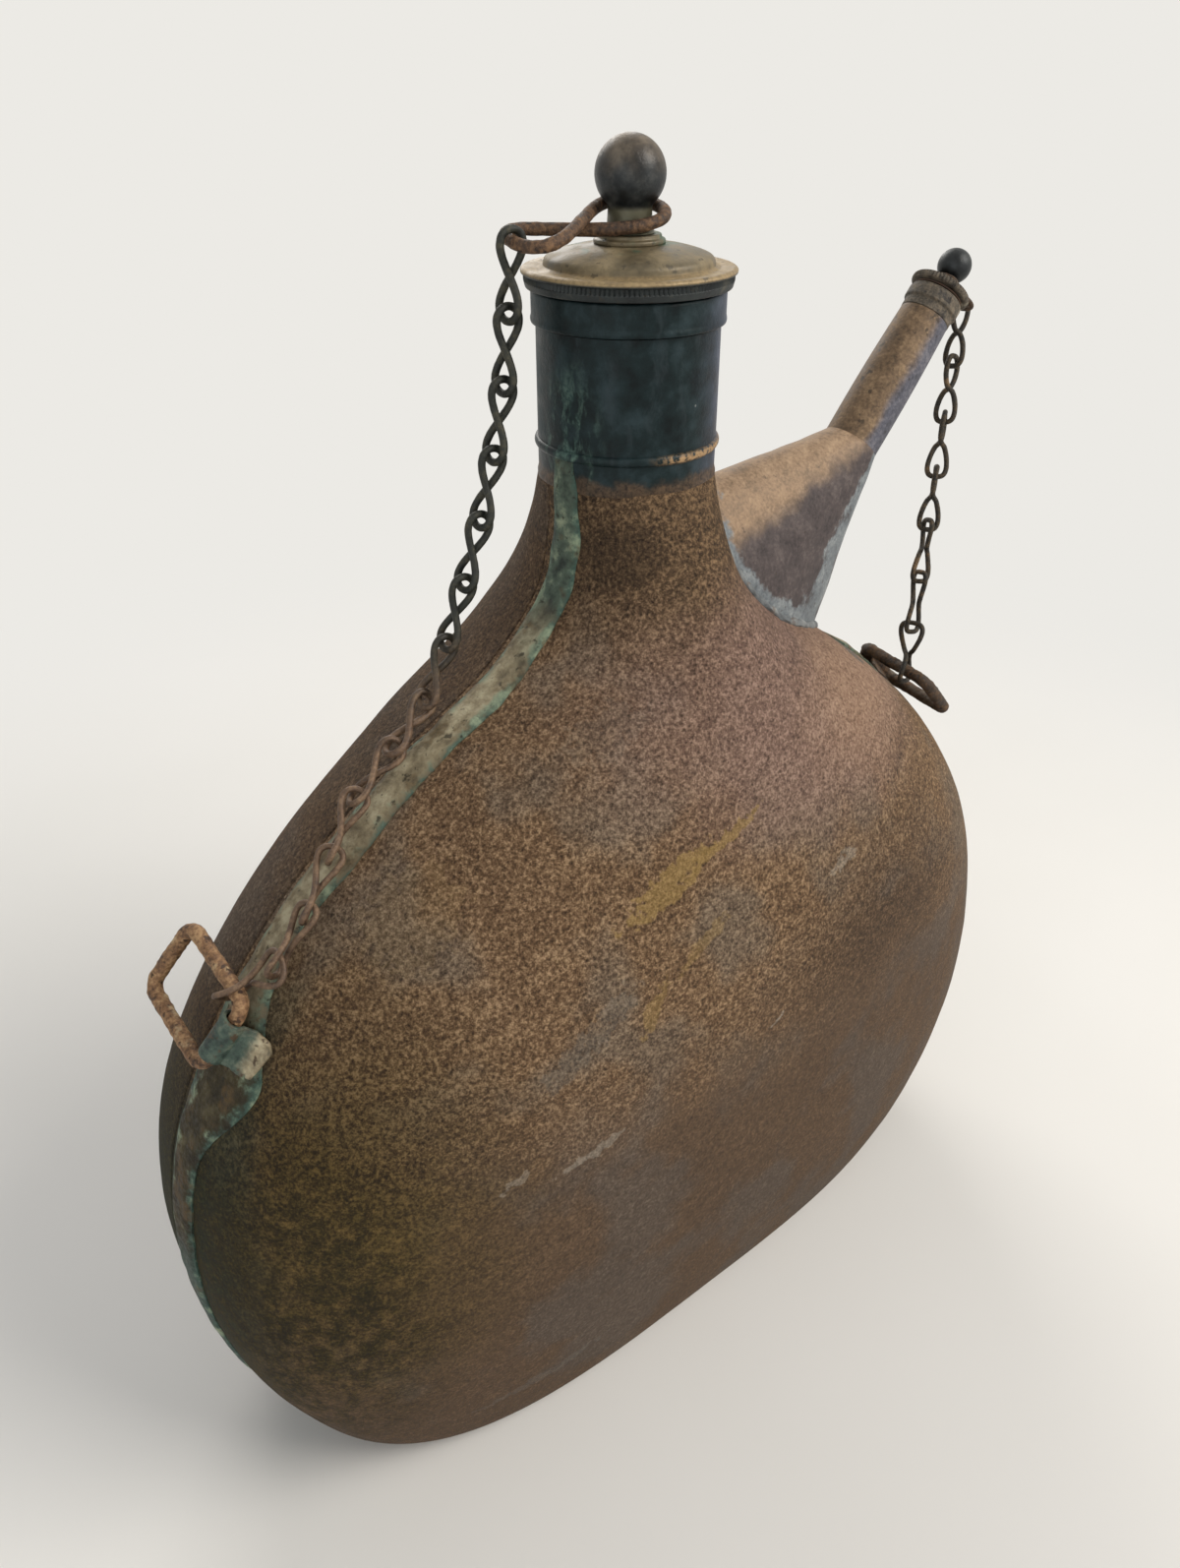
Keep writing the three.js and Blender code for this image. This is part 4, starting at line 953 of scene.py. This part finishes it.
def spout_base(paint, solder):
    """Flared sheet foot of the spout, with a bead of solder where it meets the body."""
    rows, columns = SPOUT_GRID
    foot = SPOUT_ROOT + SPOUT_ROOT_TO_FOOT
    across = np.array((SPOUT_AXIS[2], 0, -SPOUT_AXIS[0]))
    slope = math.radians(SPOUT_FOOT_SLOPE)
    down = np.array((math.cos(slope), 0, -math.sin(slope)))
    angles = np.linspace(0, 2 * math.pi, columns, endpoint=False)
    c, s = np.cos(angles)[:, None], np.sin(angles)[:, None]
    sideways = np.array((0.0, 1.0, 0.0))
    near = SPOUT_ROOT + SPOUT_R * (across * c + sideways * s)
    pinch = 1 - SPOUT_CREASE * np.clip(c, 0, 1) ** 2
    wide = foot + SPOUT_FOOT_HALF * down * c + SPOUT_FOOT_WIDE * pinch * sideways * s
    reach = np.linalg.norm(wide - near, axis=1, keepdims=True)
    rim = ground(near, (wide - near) / reach, 1.7 * reach.max())
    shares = np.linspace(0, 1, rows)[:, None, None]
    rings = near[None] + (rim - near)[None] * shares
    points = rings.reshape(-1, 3)
    fade = np.clip(np.repeat(np.sin(np.linspace(0, math.pi, rows)), columns) * 2, 0, 1)
    middle = np.repeat(rings.mean(1), columns, axis=0)
    points = points + unit(points - middle) * (dents(points, SPOUT_DENTS) * fade)[:, None]
    left = np.linalg.norm(rim[None] - rings, axis=2).reshape(-1)
    crease = np.tile(np.abs(np.angle(np.exp(1j * (angles + SPOUT_CREASE_TURN)))), rows)
    tip = np.clip(1 - crease / 0.5, 0, 1)
    foot_band = np.clip(1 - left / (SPOUT_SOLDER_BAND + SPOUT_SOLDER_TIP * tip), 0, 1)
    band = np.maximum(foot_band, 0.95 * np.clip(1.25 - crease / 0.4, 0, 1))
    piece = build("spout_base", "sheet", points, grid(rows, columns, wrap=True), paint, "iron", 50,
                  {"solder": band}, closed=False)
    thicken(piece, SPOUT_WALL, -1)
    path = even(np.vstack([rim, rim[:1]]), 221)[:-1]
    run = wire(path, SPOUT_SOLDER_WIRE, 12, SOLDER_FLAKE, 3.3)
    build("spout_base", "solder", *run, solder, "solder", added=True)


def spout_turnings(tube, bronze, dark):
    """Tube, ferrule, cap and knob on the slanted axis."""
    def seat(points, faces):
        return on_axis(points, SPOUT_ROOT, SPOUT_AXIS), faces

    _, tube_end, _ = along_spout("spout_tube")
    low, high, ferrule_r = along_spout("spout_ferrule")
    cap_low, cap_high, cap_r = along_spout("spout_cap")
    _, knob_top, ball_r = along_spout("spout_knob")
    tip_r = ferrule_r - FERRULE_PROUD
    bore = tip_r - SPOUT_WALL
    profile = [(SPOUT_R + 0.05, -0.5)]
    for s in np.linspace(0.02, 1, 30):
        profile.append((SPOUT_R + SPOUT_SWELL * math.sin(math.pi * s) + (tip_r - SPOUT_R) * s, tube_end * s))
    profile += [(bore, tube_end), (SPOUT_R - SPOUT_WALL, -0.5)]
    build("spout_tube", "turned", *seat(*turned_ring(profile, 72)), tube, "iron")
    waist, top = ferrule_r - 0.5, ferrule_r - 0.25
    ring = rounded([(bore, low - 0.2), (waist, low - 0.2), (waist, low + 1.9), (ferrule_r, low + 2.2),
                    (ferrule_r, high - 0.6), (top, high - 0.5), (top, high), (bore, high)], 0.25)
    ferrule = seat(*turned_ring(ring, 72))
    build("spout_ferrule", "turned", *ferrule, bronze, "bronze")
    cap = rounded([(0, cap_low), (cap_r - 0.4, cap_low), (cap_r, cap_low + 0.4), (cap_r, cap_high - 0.4),
                   (cap_r - 0.45, cap_high), (3.6, cap_high + 0.1), (2.9, cap_high + 0.5),
                   (0, cap_high + 0.5)], 0.3)
    points, faces = lathe(cap, 4 * SPOUT_TEETH)
    edge = np.hypot(points[:, 0], points[:, 1])
    angle = np.arctan2(points[:, 1], points[:, 0])
    cut = np.where(edge > cap_r - 0.2, SPOUT_KNURL_DEPTH * (1 - np.cos(SPOUT_TEETH * angle)), 0)
    points[:, :2] *= (1 - cut / np.maximum(edge, 1))[:, None]
    build("spout_cap", "turned", *seat(points, faces), bronze, "bronze")
    turns = np.linspace(-1.1, math.pi / 2, 22)
    ball = [(ball_r * math.cos(a), knob_top - ball_r + ball_r * math.sin(a)) for a in turns]
    shank = [(0, cap_high + 0.3), (SPOUT_SHANK_R + 0.45, cap_high + 0.3),
             (SPOUT_SHANK_R, cap_high + 0.9), (SPOUT_SHANK_R, ball[0][1] - 0.3)]
    profile = shank + ball[:-1] + [(0, knob_top)]
    build("spout_knob", "turned", *seat(*lathe(profile, 48)), dark, "brass")


# Neck and main stopper

def neck_pieces(brass, bead_z):
    """Tube with its bead and spigot, and the rim on top of it."""
    rim_low, rim_high = heights("neck_rim")
    foot, top = heights("neck_tube")
    spigot, seat = NECK_R - SPIGOT_IN, NECK_R - RIM_SEAT_IN
    turns = np.linspace(-1.5, 1.5, 9)
    bead = [(NECK_R + BEAD_OUT * math.cos(a), bead_z + BEAD_HALF * math.sin(a)) for a in turns]
    profile = [(NECK_BORE_R, foot), (spigot, foot), (spigot, BODY_HEIGHT - 1),
               (NECK_R + 0.25, BODY_HEIGHT - 1.2), (NECK_R + 0.3, BODY_HEIGHT - 0.4),
               (NECK_R + 0.05, BODY_HEIGHT + 0.6), *bead, (NECK_R, rim_low - 0.25),
               (seat, rim_low - 0.2), (seat, top), (NECK_BORE_R, top)]
    points, faces = turned_ring(profile, 120)
    away = unit(points * (1, 1, 0) + (1e-9, 0, 0))
    points = points + away * dents(points, NECK_DENTS)[:, None]
    build("neck_tube", "turned", points, faces, brass, "brass")
    rim = rounded([(NECK_R - 0.5, rim_low), (RIM_R - 0.1, rim_low), (RIM_R + 0.05, rim_low + 0.7),
                   (RIM_R - 0.15, rim_low + 1.4), (RIM_R - 0.15, rim_high - 0.5),
                   (RIM_R - 0.4, rim_high), (NECK_R - 0.5, rim_high)], 0.35)
    build("neck_rim", "turned", *turned_ring(rim, 120), brass, "brass")


def stopper_pieces(bronze, knob):
    """Serrated cap with its dome, the collar on it and the ball knob."""
    low, flange_high = heights("stopper_cap")
    collar_low, collar_high = heights("stopper_collar")
    _, knob_top = heights("stopper_knob")
    lip = low + LIP_ABOVE_CAP
    rise, run = flange_high - lip, DOME_R - COLLAR_R
    slope = [(COLLAR_R + run * s, lip + rise * h) for s, h in curve(DOME_SHARES, 5)]
    skirt = heights("neck_rim")[1] + SKIRT_CLEAR
    edge = rounded([(0, low), (FLANGE_R - 1.7, low), (FLANGE_R - 1.7, skirt), (FLANGE_R - 0.8, skirt),
                    (FLANGE_R - 0.45, low + 0.4), (FLANGE_R - 0.45, lip - 1.05), (FLANGE_R, lip - 0.9),
                    (FLANGE_R + 0.1, lip - 0.3), (FLANGE_R - 0.5, lip + 0.15),
                    (DOME_R + 0.9, lip), slope[0]], 0.3)
    profile = np.vstack([edge, slope[1:], [(0, flange_high)]])
    band = (low + 0.3, lip - 1.02)
    points, faces = lathe(profile, 4 * KNURL_TEETH, KNURL_TEETH, KNURL_DEPTH, band)
    build("stopper_cap", "turned", points, faces, bronze, "bronze")
    step = rounded([(0, collar_low - 0.3), (COLLAR_R, collar_low - 0.3), (COLLAR_R, collar_low + 0.5),
                    (COLLAR_R - 0.7, collar_low + 0.7), (COLLAR_R - 0.8, collar_high),
                    (0, collar_high)], 0.3)
    build("stopper_collar", "turned", *lathe(step, 72), bronze, "bronze")
    centre = knob_top - BALL_R
    turns = np.linspace(-0.86, math.pi / 2, 30)
    ball = [(BALL_R * math.cos(a), centre + BALL_R * math.sin(a)) for a in turns]
    shank = rounded([(0, collar_high), (SHANK_R + 0.7, collar_high), (SHANK_R + 0.1, collar_high + 0.8),
                     (SHANK_R - 0.1, centre - 5.6), ball[0]], 0.6)
    profile = np.vstack([shank, ball[1:-1], [(0, knob_top)]])
    build("stopper_knob", "turned", *lathe(profile, 84), knob, "brass")


# Wire pieces

def flat_link(node, diameter, paint, flake):
    """Figure-eight link rebuilt along the axes of its solid."""
    points = node_points(node)
    middle = points.mean(0)
    axes = np.linalg.svd(points - middle)[2]
    runs = (points - middle) @ axes.T
    spans = (runs.max(0) - runs.min(0) - diameter) / 2
    path = middle + eight(*spans, 0) @ axes
    build(node, "wire", *wire(path, diameter, 16, flake, 1.2), paint, "wire")


def chain_link(node, diameter, paint, square=1.0):
    """Twisted link rebuilt along its solid, its eyes a quarter turn apart."""
    points = node_points(node)
    middle = points.mean(0)
    s = np.linalg.svd(points - middle)[2][0]
    run = (points - middle) @ s
    half = (run.max() - run.min() - diameter) / 2
    lateral = points - middle - np.outer(run, s)
    eye = lateral[run > 0.4 * half]
    flat = np.linalg.svd(eye - eye.mean(0))[2][0]
    width = (np.ptp(eye @ flat) - diameter) / 2
    corner = math.sqrt(0.5)
    u = corner * flat - corner * np.cross(s, flat)
    axes = np.stack([s, u, np.cross(s, u)])
    path = middle + eight(half, width, diameter / 2 + CROSSING_GAP, 90, 96, square) @ axes
    made = wire(path, diameter, 12, CHAIN_FLAKE, sum(middle) % 11)
    build(node, "wire", *made, paint, "chain")


def strap_loop(node, hinge_joint, paint):
    """Rounded wire rectangle turning on its hinge bar."""
    hinge, up = joint(hinge_joint)
    points = node_points(node) - hinge
    side = points.mean(0) - up * (points.mean(0) @ up)
    leg = unit(side)
    half = (np.ptp(points @ up) - LOOP_WIRE) / 2
    length = (points @ leg).max() - LOOP_WIRE / 2
    corners = ((half, 0, -90), (half, length, 0), (-half, length, 90), (-half, 0, 180))
    flat = []
    for a, b, start in corners:
        centre = np.array((a - math.copysign(LOOP_CORNER, a), b + LOOP_CORNER * (1 if b == 0 else -1)))
        for turn in np.radians(np.linspace(start, start + 90, 10)):
            flat.append(centre + LOOP_CORNER * np.array((math.cos(turn), math.sin(turn))))
    flat = even(np.array(flat + flat[:1]), 161)[:-1]
    path = hinge + np.outer(flat[:, 0], up) + np.outer(flat[:, 1], leg)
    build(node, "wire", *wire(path, LOOP_WIRE, 16, LOOP_FLAKE, half), paint, "wire")


def bracket(node, hinge_joint, paint, slot):
    """Folded sheet clip: a sleeve round the hinge bar between two feet on the body."""
    hinge, up = joint(hinge_joint)
    out = unit(np.cross((0.0, 1.0, 0.0), up))
    out *= math.copysign(1, out[0] * hinge[0])
    sideways = unit(np.cross(out, up))
    sideways *= math.copysign(1, sideways[1])
    bend = LOOP_WIRE / 2 + SLEEVE_CLEAR + SLEEVE_WALL / 2
    turns = np.radians(np.linspace(*SLEEVE_WRAP, 20))
    columns = np.linspace(-0.5, 0.5, 11) * SLEEVE_LENGTH
    reach = np.linspace(FOOT_REACH, FOOT_START, 9)
    rows = []

    def foot(offset):
        share = np.clip((abs(offset) - 0.6 * FOOT_REACH) / (0.4 * FOOT_REACH), 0, 1)
        start = hinge + sideways * offset + np.outer(columns * (1 - 0.3 * share ** 2), up) + out * FOOT_START
        lift = FOOT_LIFT + FOOT_RAISED * np.clip((5.6 - abs(offset)) / 2, 0, 1)
        return ground(start, -out, FOOT_DROP) + out * lift

    for offset in reach:
        rows.append(foot(-offset))
    for turn in turns:
        spoke = math.cos(turn) * sideways + math.sin(turn) * out
        rows.append(hinge + np.outer(columns, up) + bend * spoke)
    for offset in reach[::-1]:
        rows.append(foot(offset))
    points = np.concatenate(rows)
    faces = grid(len(rows), len(columns))
    piece = build(node, "sheet", points, faces, paint, slot, closed=False)
    thicken(piece, SLEEVE_WALL, 0)
    soften = piece.modifiers.new("edges", "BEVEL")
    soften.width = EDGE_BEVEL * MM
    soften.segments = 2


# Putting the pieces together

bead_level = BODY_HEIGHT + BEAD_ABOVE_BODY
cap_low = heights("stopper_cap")[0]
ball_level = heights("stopper_knob")[1] - BALL_R
solder = solder_paint("old_solder")
brass = neck_paint("dark_brass_with_painted_reflection", bead_level)
bronze = cap_paint("dusty_bronze", cap_low + DARK_EDGE)
leather = leather_paint("greased_leather")
wire_rust = rusty_paint("rusty_wire", (36, 27, 21), (84, 62, 45), (130, 100, 73), (146, 118, 90))
ochre_rust = rusty_paint("ochre_wire", (66, 45, 30), (130, 96, 66), (176, 142, 104), (196, 172, 134))
deep_rust = rusty_paint("brown_wire", (30, 22, 17), (62, 46, 32), (98, 74, 52), (92, 80, 66))

body_half("body_front_half", -1, body_paint("front_rust", True))
body_half("body_back_half", 1, body_paint("back_rust", False))
seam("seam_solder_left", -1, solder)
seam("seam_solder_right", 1, solder)
spout_base(spout_base_paint("spout_foot_sheet"), tin_paint("grey_solder"))
# Side of the spout tube that gets its painted blue-grey reflection
spout_reflection_side = tuple(unit(np.cross(SPOUT_AXIS, SPOUT_TO_CAMERA)))
spout_bronze = rusty_paint("spout_bronze", (44, 39, 34), (84, 76, 65), (120, 108, 92), (136, 128, 112))
spout_dark = knob_paint("spout_dark", 0.0, 0.0)
spout_turnings(spout_tube_paint("spout_sheet_painted_reflection", spout_reflection_side), spout_bronze, spout_dark)
neck_pieces(brass, bead_level)
stopper_pieces(bronze, knob_paint("dark_knob", ball_level, 0.75))
flat_link("stopper_link", LINK_WIRE, wire_rust, LINK_FLAKE)
flat_link("spout_link", SPOUT_LINK_WIRE, deep_rust, SPOUT_LINK_FLAKE)
strap_loop("left_strap_loop", "left_loop_swing", ochre_rust)
strap_loop("right_strap_loop", "right_loop_swing", deep_rust)
clip = bracket_paint("tinned_clip", joint("left_loop_swing")[0])
bracket("left_bracket", "left_loop_swing", clip, "solder")
bracket("right_bracket", "right_loop_swing", deep_rust, "wire")

left_chain = chain_paint("left_chain_wire", CHAIN_DARK_Z, CHAIN_RUSTY_Z)
right_chain = rusty_paint("right_chain_wire", (22, 20, 16), (46, 40, 31), (82, 70, 53), (112, 90, 64))
for node in sorted(node_body):
    if node.startswith("chain_left"):
        chain_link(node, LEFT_WIRE if node < FIRST_LYING else LYING_WIRE, left_chain)
    elif node.startswith("chain_right"):
        chain_link(node, RIGHT_WIRE, right_chain, RIGHT_SQUARE)
hidden = {"stopper_washer": leather, "spout_washer": leather, "stopper_plug": brass, "spout_plug": brass}
for node, paint in hidden.items():
    slots = frame["nodes"][node].data.materials
    slots.clear()
    slots.append(paint)


# Floor, light and camera

def seen(nodes, links):
    """1 for rays from the camera, from reflections and through clear things, 0 for the rest."""
    path = nodes.new("ShaderNodeLightPath")
    found = path.outputs["Is Camera Ray"]
    for kind in ("Is Glossy Ray", "Is Transmission Ray"):
        either = nodes.new("ShaderNodeMath")
        either.operation = "MAXIMUM"
        links.new(found, either.inputs[0])
        links.new(path.outputs[kind], either.inputs[1])
        found = either.outputs[0]
    return found


def floor():
    """Pale floor that curves up far from the object, evenly pale away from the object's shadow."""
    profile = [(FLOOR_FLAT, -0.05)]
    for a in np.linspace(0.05, 1.4, 24):
        profile.append((FLOOR_FLAT + FLOOR_CURVE * math.sin(a), FLOOR_CURVE - FLOOR_CURVE * math.cos(a)))
    points, faces = lathe(profile, 96)
    mesh = bpy.data.meshes.new("floor")
    mesh.from_pydata((points * MM).tolist(), [], faces[:-1])
    mesh.shade_smooth()
    p = Paint("pale_floor", specular=0.2)
    p.colour = p.ramp(p.noise(300.0, 3.0), (0.3, 232, 230, 225), (0.7, 238, 236, 232))
    mesh.materials.append(p.done(0.8, (p.noise(2.0, 2.0), 0.05, 0.2)))
    glow = p.add("ShaderNodeEmission")
    p.feed(glow.inputs["Color"], PALE)
    reach = p.vector("LENGTH", p.place, (0.0, 0.0, 0.0))
    far = p.step(reach, PALE_FROM * MM, PALE_FULL * MM)
    share = p.times(seen(p.tree.nodes, p.tree.links), far)
    blend = p.add("ShaderNodeMixShader")
    p.feed(blend.inputs[0], share)
    p.feed(blend.inputs[1], p.shader.outputs["BSDF"])
    p.feed(blend.inputs[2], glow.outputs["Emission"])
    p.feed(p.tree.nodes["Material Output"].inputs["Surface"], blend.outputs["Shader"])
    piece = show("floor", mesh)


def studio():
    """Soft even light from all round, seen as the floor's pale tone."""
    world = bpy.data.worlds.new("studio")
    world.use_nodes = True
    nodes, links = world.node_tree.nodes, world.node_tree.links
    soft = nodes["Background"]
    soft.inputs["Color"].default_value = SKY_COLOUR
    soft.inputs["Strength"].default_value = SKY_STRENGTH
    plain = nodes.new("ShaderNodeBackground")
    plain.inputs["Color"].default_value = PALE
    plain.inputs["Strength"].default_value = 1.0
    blend = nodes.new("ShaderNodeMixShader")
    links.new(seen(nodes, links), blend.inputs[0])
    links.new(soft.outputs["Background"], blend.inputs[1])
    links.new(plain.outputs["Background"], blend.inputs[2])
    links.new(blend.outputs["Shader"], nodes["World Output"].inputs["Surface"])
    bpy.context.scene.world = world


def lamp(name, place, target, size, power, colour):
    """Soft square light aimed at a point."""
    light = bpy.data.lights.new(name, "AREA")
    light.size = size
    light.energy = power
    light.color = colour
    piece = show(name, light)
    piece.location = place
    piece.rotation_euler = (Vector(target) - Vector(place)).to_track_quat("-Z", "Y").to_euler()


def camera():
    """Camera at the photograph's angle and distance."""
    right = Vector(CAMERA_RIGHT).normalized()
    ahead = Vector(CAMERA_AHEAD).normalized()
    up = right.cross(ahead).normalized()
    lens = bpy.data.cameras.new("camera")
    lens.sensor_width = SENSOR
    lens.lens = SENSOR * FOCAL_PIXELS / FRAME_PIXELS
    lens.clip_start = NEAR_LIMIT
    piece = show("camera", lens)
    turn = Matrix((right, up, -ahead)).transposed().to_4x4()
    piece.matrix_world = Matrix.Translation(CAMERA_PLACE) @ turn
    bpy.context.scene.camera = piece


floor()
for terms in LAMPS:
    lamp(*terms)
camera()
studio()
bpy.context.scene.view_settings.view_transform = "Standard"
